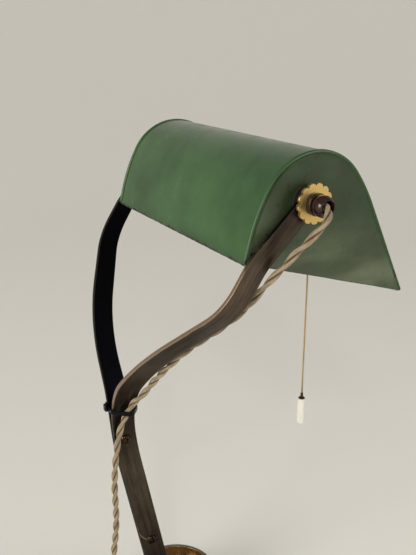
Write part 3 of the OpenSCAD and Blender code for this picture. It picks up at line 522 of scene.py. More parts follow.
class Graph:
    """A node tree, with short calls that add nodes and join them."""

    def __init__(self, tree: bpy.types.NodeTree) -> None:
        """Keep the tree that nodes are added to."""
        self.tree = tree

    def add(self, kind: str, **settings: object) -> bpy.types.Node:
        """Add a node and set its properties by name.

        Args:
            kind: Type of the node.
            **settings: Its properties.

        Returns:
            The new node.
        """
        node = self.tree.nodes.new(kind)
        for key, value in settings.items():
            setattr(node, key, value)
        return node

    def put(self, socket: Socket, value: Value) -> None:
        """Join a socket to another one, or set its value.

        Args:
            socket: The input that is set.
            value: A socket to join it to, or a number or colour.
        """
        if isinstance(value, bpy.types.NodeSocket):
            self.tree.links.new(value, socket)
        elif isinstance(value, tuple) and len(value) == 3 and socket.type == "RGBA":
            socket.default_value = (*value, 1.0)
        else:
            socket.default_value = value

    def math(self, operation: str, a: Value, b: Value = 0.5) -> Socket:
        """One Math node.

        Args:
            operation: What the node does.
            a: First value.
            b: Second value, where it takes one.

        Returns:
            The result.
        """
        node = self.add("ShaderNodeMath", operation=operation)
        self.put(node.inputs[0], a)
        self.put(node.inputs[1], b)
        return node.outputs[0]

    def times(self, a: Value, b: Value) -> Socket:
        """Product of two values."""
        return self.math("MULTIPLY", a, b)

    def plus(self, a: Value, b: Value) -> Socket:
        """Sum of two values."""
        return self.math("ADD", a, b)

    def less(self, a: Value, b: Value) -> Socket:
        """The first value less the second."""
        return self.math("SUBTRACT", a, b)

    def most(self, a: Value, b: Value) -> Socket:
        """The larger of two values."""
        return self.math("MAXIMUM", a, b)

    def span(self, value: Value, lo: float, hi: float, to_lo: float = 0.0, to_hi: float = 1.0) -> Socket:
        """One smooth Map Range node.

        Args:
            value: What is mapped.
            lo: Low end of its range.
            hi: High end of its range.
            to_lo: Result at the low end.
            to_hi: Result at the high end.

        Returns:
            The result.
        """
        node = self.add("ShaderNodeMapRange", interpolation_type="SMOOTHSTEP")
        for socket, number in zip(node.inputs, (value, lo, hi, to_lo, to_hi)):
            self.put(socket, number)
        return node.outputs[0]

    def mix(self, share: Value, a: Value, b: Value) -> Socket:
        """Mix two colours.

        Args:
            share: Share of the second colour.
            a: First colour.
            b: Second colour.

        Returns:
            The mixed colour.
        """
        node = self.add("ShaderNodeMix", data_type="RGBA")
        self.put(node.inputs["Factor"], share)
        self.put(node.inputs[6], a)
        self.put(node.inputs[7], b)
        return node.outputs[2]

    def noise(self, vector: Value, scale: Value, detail: float = 3.0, rough: float = 0.55) -> Socket:
        """Value of one Noise Texture node.

        Args:
            vector: Place of the shaded point.
            scale: Number of lumps in a unit of length.
            detail: Number of finer layers.
            rough: Strength of the finer layers.

        Returns:
            The noise, from 0 to 1.
        """
        node = self.add("ShaderNodeTexNoise")
        for key, value in (("Vector", vector), ("Scale", scale), ("Detail", detail), ("Roughness", rough)):
            self.put(node.inputs[key], value)
        return node.outputs[0]

    def axes(self, vector: Value) -> Sequence[Socket]:
        """The x, y and z of a vector.

        Args:
            vector: The vector.

        Returns:
            Its three sockets.
        """
        node = self.add("ShaderNodeSeparateXYZ")
        self.put(node.inputs[0], vector)
        return node.outputs

    def spots(self, vector: Value, scale: float, radius: float, share: float) -> Socket:
        """Scattered round spots in y and z.

        Args:
            vector: Place of the shaded point.
            scale: Number of cells in a metre.
            radius: Radius of a spot, in cells.
            share: Share of the cells that stay empty, by each cell's own random value.

        Returns:
            A mask, 1 in a spot.
        """
        place, flat = self.axes(vector), self.add("ShaderNodeCombineXYZ")
        self.put(flat.inputs[0], place[1])
        self.put(flat.inputs[1], place[2])
        node = self.add("ShaderNodeTexVoronoi", voronoi_dimensions="2D")
        self.put(node.inputs["Vector"], flat.outputs[0])
        self.put(node.inputs["Scale"], scale)
        parts = self.add("ShaderNodeSeparateColor")
        self.put(parts.inputs[0], node.outputs["Color"])
        kept = self.math("GREATER_THAN", parts.outputs[0], share)
        return self.times(self.span(node.outputs["Distance"], 0.6 * radius, radius, 1.0, 0.0), kept)

    def mapped(self, vector: Value, scale: Sequence[float]) -> Socket:
        """A vector stretched by a Mapping node.

        Args:
            vector: The vector.
            scale: Factor of each axis.

        Returns:
            The stretched vector.
        """
        node = self.add("ShaderNodeMapping")
        self.put(node.inputs["Vector"], vector)
        node.inputs["Scale"].default_value = tuple(scale)
        return node.outputs[0]

    def place(self) -> Socket:
        """Object coordinates, in metres."""
        return self.add("ShaderNodeTexCoord").outputs["Object"]

    def uv(self) -> Socket:
        """The piece's own UV map."""
        return self.add("ShaderNodeUVMap", uv_map="UVMap").outputs[0]

    def attribute(self, name: str) -> Socket:
        """A value stored on the piece's points."""
        return self.add("ShaderNodeAttribute", attribute_name=name).outputs["Fac"]

    def bump(self, height: Value, strength: float, distance: float) -> Socket:
        """Normal of one Bump node.

        Args:
            height: Height of the bumps.
            strength: Share of their effect.
            distance: Height of a whole bump, in metres.

        Returns:
            The normal.
        """
        node = self.add("ShaderNodeBump")
        node.inputs["Strength"].default_value = strength
        node.inputs["Distance"].default_value = distance
        self.put(node.inputs["Height"], height)
        return node.outputs["Normal"]


@dataclass
class Effect:
    """A shader node group that several finishes share."""

    name: str
    inputs: dict[str, tuple[str, float]]
    outputs: tuple[str, ...]
    make: Callable[[Graph, dict[str, Socket]], dict[str, Value]]

    def tree(self) -> bpy.types.NodeTree:
        """The group's tree, built the first time that it is asked for.

        Returns:
            The tree.
        """
        found = bpy.data.node_groups.get(self.name)
        if found:
            return found
        tree = bpy.data.node_groups.new(self.name, "ShaderNodeTree")
        for key, (kind, value) in self.inputs.items():
            socket = tree.interface.new_socket(key, in_out="INPUT", socket_type=kind)
            if kind == "NodeSocketFloat":
                socket.default_value = value
        for key in self.outputs:
            tree.interface.new_socket(key, in_out="OUTPUT", socket_type="NodeSocketFloat")
        graph = Graph(tree)
        start, end = graph.add("NodeGroupInput"), graph.add("NodeGroupOutput")
        made = self.make(graph, {key: start.outputs[key] for key in self.inputs})
        for key in self.outputs:
            graph.put(end.inputs[key], made[key])
        return tree

    def use(self, graph: Graph, **values: Value) -> dict[str, Socket]:
        """Place the group in a tree.

        Args:
            graph: The tree that takes it.
            **values: Sockets or numbers for its inputs, by name.

        Returns:
            Its output sockets by name.
        """
        node = graph.add("ShaderNodeGroup", node_tree=self.tree())
        for key, value in values.items():
            graph.put(node.inputs[key], value)
        return {key: node.outputs[key] for key in self.outputs}


def make_mottle(g: Graph, i: dict[str, Socket]) -> dict[str, Value]:
    """Soft patches: coarse noise and finer noise, mixed.

    Args:
        g: The group's tree.
        i: The group's input sockets, by name.

    Returns:
        Values for the group's outputs, by name.
    """
    coarse = g.noise(i["Vector"], i["Scale"], 2.0)
    fine = g.noise(i["Vector"], g.times(i["Scale"], 5.3), 4.0)
    both = g.plus(g.times(coarse, 0.65), g.times(fine, 0.35))
    return {"Patch": g.span(both, 0.32, 0.68), "Grain": fine}


def make_wear(g: Graph, i: dict[str, Socket]) -> dict[str, Value]:
    """Wear that starts at edges and breaks up with noise.

    Args:
        g: The group's tree.
        i: The group's input sockets, by name.

    Returns:
        Values for the group's outputs, by name.
    """
    broken = g.noise(i["Vector"], i["Scale"], 5.0, 0.65)
    level = g.plus(i["Edge"], g.times(g.less(broken, 0.5), i["Break"]))
    return {"Worn": g.span(g.plus(level, g.less(i["Amount"], 0.5)), 0.62, 0.80)}


def make_streaks(g: Graph, i: dict[str, Socket]) -> dict[str, Value]:
    """Long fine lines along u, with a slow change of strength.

    Args:
        g: The group's tree.
        i: The group's input sockets, by name.

    Returns:
        Values for the group's outputs, by name.
    """
    fine = g.noise(g.mapped(i["Vector"], (0.012, 2.6, 1)), 1.0, 4.0, 0.7)
    wide = g.noise(g.mapped(i["Vector"], (0.02, 0.28, 1)), 1.0, 3.0, 0.6)
    both = g.plus(g.times(fine, 0.55), g.times(wide, 0.45))
    return {"Streak": g.span(both, 0.36, 0.64), "Height": fine}


def make_braid(g: Graph, i: dict[str, Socket]) -> dict[str, Value]:
    """Crossing yarns of a braid: two slanted waves, the higher one on top.

    Args:
        g: The group's tree.
        i: The group's input sockets, by name.

    Returns:
        Values for the group's outputs, by name.
    """
    u, v, _ = g.axes(i["Vector"])
    along, round_ = g.times(u, i["Along"]), g.times(v, i["Around"])
    left = g.math("SINE", g.times(g.plus(along, round_), TURN))
    right = g.math("SINE", g.times(g.less(along, round_), TURN))
    top = g.most(left, right)
    fuzz = g.noise(g.mapped(i["Vector"], (3.0, 30.0, 1)), 1.0, 3.0, 0.7)
    height = g.plus(g.times(top, 0.8), g.times(fuzz, 0.5))
    return {"Height": height, "Gap": g.span(top, -0.2, 0.5, 1.0, 0.0), "Fuzz": fuzz}


FLOAT, VECTOR = "NodeSocketFloat", "NodeSocketVector"
MOTTLE = Effect("soft mottle", {"Vector": (VECTOR, 0), "Scale": (FLOAT, 20)}, ("Patch", "Grain"), make_mottle)
WEAR = Effect(
    "edge wear",
    {"Vector": (VECTOR, 0), "Edge": (FLOAT, 0), "Scale": (FLOAT, 300), "Break": (FLOAT, 1), "Amount": (FLOAT, 0.5)},
    ("Worn",),
    make_wear,
)
STREAKS = Effect("lengthwise streaks", {"Vector": (VECTOR, 0)}, ("Streak", "Height"), make_streaks)
BRAID = Effect(
    "braided yarn",
    {"Vector": (VECTOR, 0), "Along": (FLOAT, 1), "Around": (FLOAT, 8)},
    ("Height", "Gap", "Fuzz"),
    make_braid,
)


class Finish:
    """A surface finish; each kind builds its own material once."""

    name: str

    def sockets(self, g: Graph) -> dict[str, Value]:
        """Values of the shader's sockets, by name."""
        raise NotImplementedError

    def marbled(self, g: Graph, scale: float, a: Colour, b: Colour) -> tuple[Socket, Socket]:
        """Two colours mixed in soft patches, and the fine grain of the patches."""
        patch = MOTTLE.use(g, Vector=g.place(), Scale=scale)
        return g.mix(patch["Patch"], a, b), patch["Grain"]

    def material(self) -> bpy.types.Material:
        """The finish's material, built the first time that it is asked for.

        Returns:
            The material.
        """
        found = bpy.data.materials.get(self.name)
        if found:
            return found
        made = bpy.data.materials.new(self.name)
        made.use_nodes = True
        made.node_tree.nodes.clear()
        g = Graph(made.node_tree)
        bsdf, out = g.add("ShaderNodeBsdfPrincipled"), g.add("ShaderNodeOutputMaterial")
        g.put(out.inputs["Surface"], bsdf.outputs[0])
        for key, value in self.sockets(g).items():
            g.put(bsdf.inputs[key], value)
        return made


@dataclass(frozen=True)
class Enamel(Finish):
    """Vitreous enamel: a glossy coat with faint flow, white inside, chipped at its edges; on the plates' outer faces
    darker with dirt and painted shade, and lighter near their lower edges with a painted sheen.
    """

    name: str
    deep: Colour
    pale: Colour
    # soiled: darker olive for dirt and painted shade, mostly on the plates' outer faces
    soiled: Colour
    # dusty: greyish green light painted as a sheen near the plates' lower edges
    dusty: Colour
    inside: Colour = (0.70, 0.70, 0.66)
    iron: Colour = (0.020, 0.017, 0.014)
    rough: float = 0.22
    specular: float = 0.33
    flow_scale: float = 11.0
    cloud_scale: float = 38.0
    ripple_scale: float = 30.0
    chip_scale: float = 240.0
    band_scale: tuple[float, float, float] = (1.0, 9.0, 34.0)
    specks: tuple[float, float, float] = (105.0, 0.20, 0.62)

    def sockets(self, g: Graph) -> dict[str, Value]:
        """Mix the coat, the dirt and painted shade, the painted sheen, the white inside and the chips.

        Args:
            g: The material's tree.

        Returns:
            Values of the shader's sockets, by name.
        """
        place = g.place()
        flow = MOTTLE.use(g, Vector=place, Scale=self.flow_scale)
        coat = g.mix(flow["Patch"], self.deep, self.pale)
        cloud = MOTTLE.use(g, Vector=place, Scale=self.cloud_scale)
        # Dirt and painted shade: darker olive where marked, mostly over the plates' outer faces.
        soil = g.times(g.attribute("soil"), g.span(cloud["Patch"], 0.0, 1.0, 0.70, 1.0))
        coat = g.mix(soil, coat, self.soiled)
        # Painted sheen: a lighter greyish haze in soft bands near the plates' lower edges.
        bands = g.span(g.noise(g.mapped(place, self.band_scale), 1.0, 3.0, 0.6), 0.34, 0.62, 0.25, 1.0)
        coat = g.mix(g.times(g.attribute("dust"), bands), coat, self.dusty)
        coat = g.mix(g.attribute("inner"), coat, self.inside)
        chips = WEAR.use(g, Vector=place, Edge=g.attribute("edge"), Scale=self.chip_scale, Break=1.5, Amount=0.30)
        bare = g.most(chips["Worn"], g.times(g.spots(place, *self.specks), g.attribute("speck")))
        gloss = g.span(flow["Grain"], 0.3, 0.75, self.rough - 0.04, self.rough + 0.06)
        dull = g.plus(g.times(bare, 0.3), g.times(soil, 0.10))
        height = g.less(g.noise(place, self.ripple_scale, 1.0), g.times(bare, 0.35))
        return {
            "Base Color": g.mix(bare, coat, self.iron),
            "Roughness": g.plus(gloss, dull),
            "Normal": g.bump(height, 0.10, 0.0012),
            "Specular IOR Level": self.specular,
        }


@dataclass(frozen=True)
class BronzedSteel(Finish):
    """Flat bar, brown and brushed lengthwise outside, worn along its edges, where marked painted light on lit edges,
    and painted black as shade inside and on marked sides.

    It has one short curved scratch: a thin ring about a point, in metres, kept between two heights.
    """

    name: str
    dark: Colour
    light: Colour
    # black: painted shade on the inner face and on the unrubbed narrow sides
    black: Colour = (0.005, 0.005, 0.007)
    # worn: bare metal on worn edges; where rubbed is high it is also painted light on edges that face up
    worn: Colour = (0.29, 0.205, 0.135)
    rough: float = 0.34
    patch_scale: float = 22.0
    wear_scale: float = 90.0
    scratch_middle: tuple[float, float, float] = (-0.004, 0.0205, 0.1200)
    scratch_r: float = 0.0185
    scratch_w: tuple[float, float] = (0.0002, 0.0006)
    scratch_z: tuple[float, float] = (0.1035, 0.1200)

    def scratch(self, g: Graph, place: Socket) -> Socket:
        """Mask of the scratch.

        Args:
            g: The material's tree.
            place: Place of the shaded point.

        Returns:
            The mask, 1 on the scratch.
        """
        far = g.add("ShaderNodeVectorMath", operation="DISTANCE")
        g.put(far.inputs[0], place)
        g.put(far.inputs[1], self.scratch_middle)
        off = g.math("ABSOLUTE", g.less(far.outputs["Value"], self.scratch_r))
        _, _, z = g.axes(place)
        above = g.math("GREATER_THAN", z, self.scratch_z[0])
        below = g.math("LESS_THAN", z, self.scratch_z[1])
        return g.times(g.span(off, *self.scratch_w, 1.0, 0.0), g.times(above, below))

    def sockets(self, g: Graph) -> dict[str, Value]:
        """Mix streaks, patches, worn edges, the scratch, and the black painted shade inside and on the marked sides.

        Args:
            g: The material's tree.

        Returns:
            Values of the shader's sockets, by name.
        """
        # inner marks the painted shade: black on the inner face and on the unrubbed sides
        place, inner = g.place(), g.attribute("inner")
        streaks = STREAKS.use(g, Vector=g.uv())
        patch = MOTTLE.use(g, Vector=place, Scale=self.patch_scale)
        tone = g.plus(g.times(streaks["Streak"], 0.7), g.times(patch["Patch"], 0.3))
        tone = g.times(tone, g.attribute("tone"))
        worn = WEAR.use(g, Vector=place, Edge=g.attribute("edge"), Scale=self.wear_scale, Break=0.9, Amount=0.40)
        bare = g.most(worn["Worn"], self.scratch(g, place))
        colour = g.mix(bare, g.mix(tone, self.dark, self.light), self.worn)
        rough = g.span(tone, 0.0, 1.0, self.rough - 0.06, self.rough + 0.12)
        return {
            "Base Color": g.mix(inner, colour, self.black),
            "Roughness": g.plus(rough, g.times(inner, 0.32)),
            "Normal": g.bump(streaks["Height"], 0.12, 0.0003),
            "Metallic": g.span(inner, 0.0, 1.0, 0.75, 1.0),
        }


@dataclass(frozen=True)
class Japanned(Finish):
    """Cast iron under black varnish, browner inside its cup and rubbed to metal on its lip."""

    name: str
    body: Colour
    vein: Colour
    cup: Colour
    rubbed: Colour = (0.20, 0.185, 0.16)
    rough: float = 0.22
    patch_scale: float = 45.0
    wear_scale: float = 120.0

    def sockets(self, g: Graph) -> dict[str, Value]:
        """Mix the varnish, the cup and the rubbed lip.

        Args:
            g: The material's tree.

        Returns:
            Values of the shader's sockets, by name.
        """
        varnish, grain = self.marbled(g, self.patch_scale, self.body, self.vein)
        edge, inner = g.attribute("edge"), g.attribute("inner")
        lip = WEAR.use(g, Vector=g.place(), Edge=edge, Scale=self.wear_scale, Break=0.8, Amount=0.38)["Worn"]
        return {
            "Base Color": g.mix(lip, g.mix(inner, varnish, self.cup), self.rubbed),
            "Roughness": g.span(grain, 0.25, 0.75, self.rough - 0.04, self.rough + 0.14),
            "Normal": g.bump(grain, 0.07, 0.0005),
            "Metallic": g.times(g.most(lip, inner), 0.8),
        }


@dataclass(frozen=True)
class Metal(Finish):
    """Turned or cast metal with tarnish in soft patches and a fine grain; where a piece is marked it is darkened to
    near-black, as painted shade with some tarnish.
    """

    name: str
    bright: Colour
    tarnish: Colour
    # Near-black for painted shade, with some tarnish, where a piece is marked.
    grime: Colour = (0.020, 0.013, 0.007)
    rough: float = 0.25
    patch_scale: float = 110.0

    def sockets(self, g: Graph) -> dict[str, Value]:
        """Mix the metal, its tarnish, and the painted shade where marked.

        Args:
            g: The material's tree.

        Returns:
            Values of the shader's sockets, by name.
        """
        metal, grain = self.marbled(g, self.patch_scale, self.bright, self.tarnish)
        return {
            # marked parts are darkened towards near-black: painted shade with some tarnish
            "Base Color": g.mix(g.attribute("grime"), metal, self.grime),
            "Roughness": g.span(grain, 0.25, 0.75, self.rough - 0.05, self.rough + 0.15),
            "Normal": g.bump(grain, 0.05, 0.0004),
            "Metallic": 1.0,
        }


@dataclass(frozen=True)
class Moulded(Finish):
    """Moulded resin, nylon or plastic: a clear gloss over a faintly marbled body, rougher where a piece is marked
    dull and darkened there with painted shade.
    """

    name: str
    body: Colour
    vein: Colour
    rough: float = 0.18
    grain: float = 0.03
    specular: float = 0.5
    # Colour of the painted shade on the dull part.
    dirt: Colour = (0.014, 0.007, 0.004)
    patch_scale: float = 160.0

    def sockets(self, g: Graph) -> dict[str, Value]:
        """Mix the body, its veins and the dull part, which is rougher and darkened with painted shade.

        Args:
            g: The material's tree.

        Returns:
            Values of the shader's sockets, by name.
        """
        dull = g.attribute("dull")
        body, grain = self.marbled(g, self.patch_scale, self.body, self.vein)
        gloss = g.span(grain, 0.25, 0.75, self.rough - 0.04, self.rough + 0.12)
        return {
            # painted shade: the dull part is darkened towards a near-black brown
            "Base Color": g.mix(dull, body, self.dirt),
            "Roughness": g.plus(gloss, g.times(dull, 0.2)),
            "Normal": g.bump(grain, self.grain, 0.0003),
            "Specular IOR Level": self.specular,
        }


@dataclass(frozen=True)
class Cloth(Finish):
    """Braided cotton over a core, with darker gaps between its yarns, and darker where marked: painted shade between
    strands, soil near the pull's knob.
    """

    name: str
    yarn: Colour
    fleck: Colour
    # Colour of the gaps between yarns, and of the painted shade between strands.
    gap: Colour
    along: float = 0.9
    around: float = 5.0
    patch_scale: float = 60.0
    fibre_scale: tuple[float, float, float] = (0.10, 7.0, 1.0)

    def sockets(self, g: Graph) -> dict[str, Value]:
        """Mix yarns, flecks and gaps on the piece's UV map, darker where marked: painted shade between strands, soil
        near the pull's knob.

        Args:
            g: The material's tree.

        Returns:
            Values of the shader's sockets, by name.
        """
        braid = BRAID.use(g, Vector=g.uv(), Along=self.along, Around=self.around)
        patch = MOTTLE.use(g, Vector=g.place(), Scale=self.patch_scale)
        fibres = g.span(g.noise(g.mapped(g.uv(), self.fibre_scale), 1.0, 3.0, 0.6), 0.42, 0.64)
        tone = g.mix(g.times(fibres, g.span(patch["Patch"], 0.0, 1.0, 0.5, 1.0)), self.yarn, self.fleck)
        # painted shade between the strands, and soil near the pull's knob, from the marks on the points
        dark = g.most(g.times(braid["Gap"], 0.45), g.attribute("crease"))
        return {
            "Base Color": g.mix(dark, tone, self.gap),
            "Roughness": g.span(braid["Fuzz"], 0.2, 0.8, 0.75, 0.95),
            "Normal": g.bump(braid["Height"], 0.5, 0.00025),
            "Sheen Weight": 0.25,
            "Sheen Roughness": 0.4,
        }


@dataclass(frozen=True)
class Felt(Finish):
    """Matt felt or fibre."""

    name: str
    body: Colour
    fleck: Colour
    patch_scale: float = 240.0

    def sockets(self, g: Graph) -> dict[str, Value]:
        """Mix the fibres.

        Args:
            g: The material's tree.

        Returns:
            Values of the shader's sockets, by name.
        """
        colour, grain = self.marbled(g, self.patch_scale, self.body, self.fleck)
        rough = g.span(grain, 0.2, 0.8, 0.8, 0.98)
        return {"Base Color": colour, "Roughness": rough, "Normal": g.bump(grain, 0.4, 0.0005)}


@dataclass(frozen=True)
class OpalGlass(Finish):
    """Pearl bulb glass: a milky body that lets some light through."""

    name: str
    body: Colour
    haze: Colour
    patch_scale: float = 50.0

    def sockets(self, g: Graph) -> dict[str, Value]:
        """Mix the body and its haze.

        Args:
            g: The material's tree.

        Returns:
            Values of the shader's sockets, by name.
        """
        colour, grain = self.marbled(g, self.patch_scale, self.body, self.haze)
        rough = g.span(grain, 0.2, 0.8, 0.12, 0.24)
        return {"Base Color": colour, "Roughness": rough, "Transmission Weight": 0.35, "IOR": 1.46}


@dataclass(frozen=True)
class Backdrop(Finish):
    """Plain matt paint with a faint glow of its own."""

    name: str
    paint: Colour
    glow: float

    def sockets(self, g: Graph) -> dict[str, Value]:
        """Set the paint and its glow."""
        plain = {"Base Color": self.paint, "Roughness": 0.9}
        return {**plain, "Emission Color": self.paint, "Emission Strength": self.glow}


FINISHES: dict[str, Finish] = {
    "green_enamel": Enamel("green enamel", (0.021, 0.065, 0.020), (0.048, 0.115, 0.040), (0.025, 0.038, 0.016),
                           (0.112, 0.136, 0.082)),
    "bronzed_steel": BronzedSteel("bronzed steel", (0.015, 0.0096, 0.0062), (0.138, 0.102, 0.071)),
    "dark_steel": Metal("dark steel", (0.060, 0.036, 0.024), (0.018, 0.012, 0.009), rough=0.22),
    "brass": Metal("brass", (0.98, 0.77, 0.36), (0.80, 0.55, 0.19), rough=0.52),
    "aged_brass": Metal("aged brass", (0.10, 0.062, 0.030), (0.035, 0.022, 0.012), rough=0.35),
    "bakelite": Moulded("brown moulding", (0.026, 0.009, 0.006), (0.012, 0.005, 0.004), 0.10, 0.03, 0.42),
    "black_nylon": Moulded("black nylon", (0.002, 0.002, 0.003), (0.003, 0.003, 0.004), 0.12, 0.03, 0.12),
    "japanned_iron": Japanned("japanned iron", (0.010, 0.009, 0.008), (0.024, 0.020, 0.015), (0.34, 0.21, 0.08)),
    "felt": Felt("green felt", (0.035, 0.075, 0.040), (0.055, 0.100, 0.055)),
    # The washers' near-black stands partly for painted shade behind the nuts.
    "fibre": Felt("dark fibre", (0.008, 0.006, 0.005), (0.014, 0.009, 0.007)),
    "insulator": Moulded("white insulator", (0.74, 0.72, 0.66), (0.68, 0.66, 0.58), 0.40),
    "black_glass": Moulded("black glass", (0.012, 0.012, 0.014), (0.02, 0.02, 0.022), 0.08),
    "opal_glass": OpalGlass("opal glass", (0.90, 0.89, 0.85), (0.84, 0.83, 0.78)),
    "flex_cloth": Cloth("flex cotton", (0.385, 0.302, 0.190), (0.160, 0.098, 0.044), (0.030, 0.017, 0.008)),
    "pull_cloth": Cloth("pull cotton", (0.46, 0.31, 0.12), (0.30, 0.19, 0.07), (0.10, 0.06, 0.02), 2.0, 3.0),
    "white_plastic": Moulded("white plastic", (0.70, 0.69, 0.645), (0.66, 0.645, 0.59), 0.24),
}


def placed(name: str, data: bpy.types.ID) -> bpy.types.Object:
    """Put a new object in the scene, at the origin.

    Args:
        name: Name of the object.
        data: Its mesh, camera or light.

    Returns:
        The object.
    """
    thing = bpy.data.objects.new(name, data)
    bpy.context.scene.collection.objects.link(thing)
    return thing


class Maker:
    """Turns surfaces into pieces that ride on the frame."""

    def __init__(self, frame: dict) -> None:
        """Keep the frame's nodes and their material slots."""
        self.nodes = frame["nodes"]
        self.slots = {s["node"]: s["material_slot"] for s in frame["record"]["subparts"]}

    def piece(self, name: str, surface: Surface, body: Body, *replaced: str) -> bpy.types.Object:
        """Make a piece from a surface, in the material slot of the first node that it stands for.

        Args:
            name: Name of the piece.
            surface: Its points and faces, in millimetres.
            body: The body that it rides on.
            *replaced: CAD nodes that it stands for.

        Returns:
            The new object.
        """
        slot = self.slots[replaced[0]]
        mesh = surface.mesh(name)
        mesh.materials.append(FINISHES[slot].material())
        thing = placed(name, mesh)
        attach(thing, body.value)
        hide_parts(*replaced)
        LOG.info("%s: %d faces on %s", name, len(mesh.polygons), body.value)
        return thing

    def dress_nodes(self) -> None:
        """Give every CAD node the finish of its slot."""
        for name, thing in self.nodes.items():
            thing.data.materials.clear()
            thing.data.materials.append(FINISHES[self.slots[name]].material())
            if not thing.hide_render:
                LOG.info("%s: CAD node in %s", name, self.slots[name])


@dataclass(frozen=True)
class Pivot:
    """The line that the shade tilts about."""

    y: float
    z: float

    def section(self, x: Numbers, plane: np.ndarray) -> np.ndarray:
        """Points (rearward, up) of a section plane at places along the shade."""
        return stacked(x, plane[..., 0] + self.y, plane[..., 1] + self.z)

    def centre(self, x: float) -> tuple[float, float, float]:
        """A point on the line."""
        return (x, self.y, self.z)


def two_sided(front: np.ndarray, rear: np.ndarray) -> np.ndarray:
    """Columns down the front of a slab, then up its rear."""
    return np.concatenate([front, rear[:, ::-1]], 1)


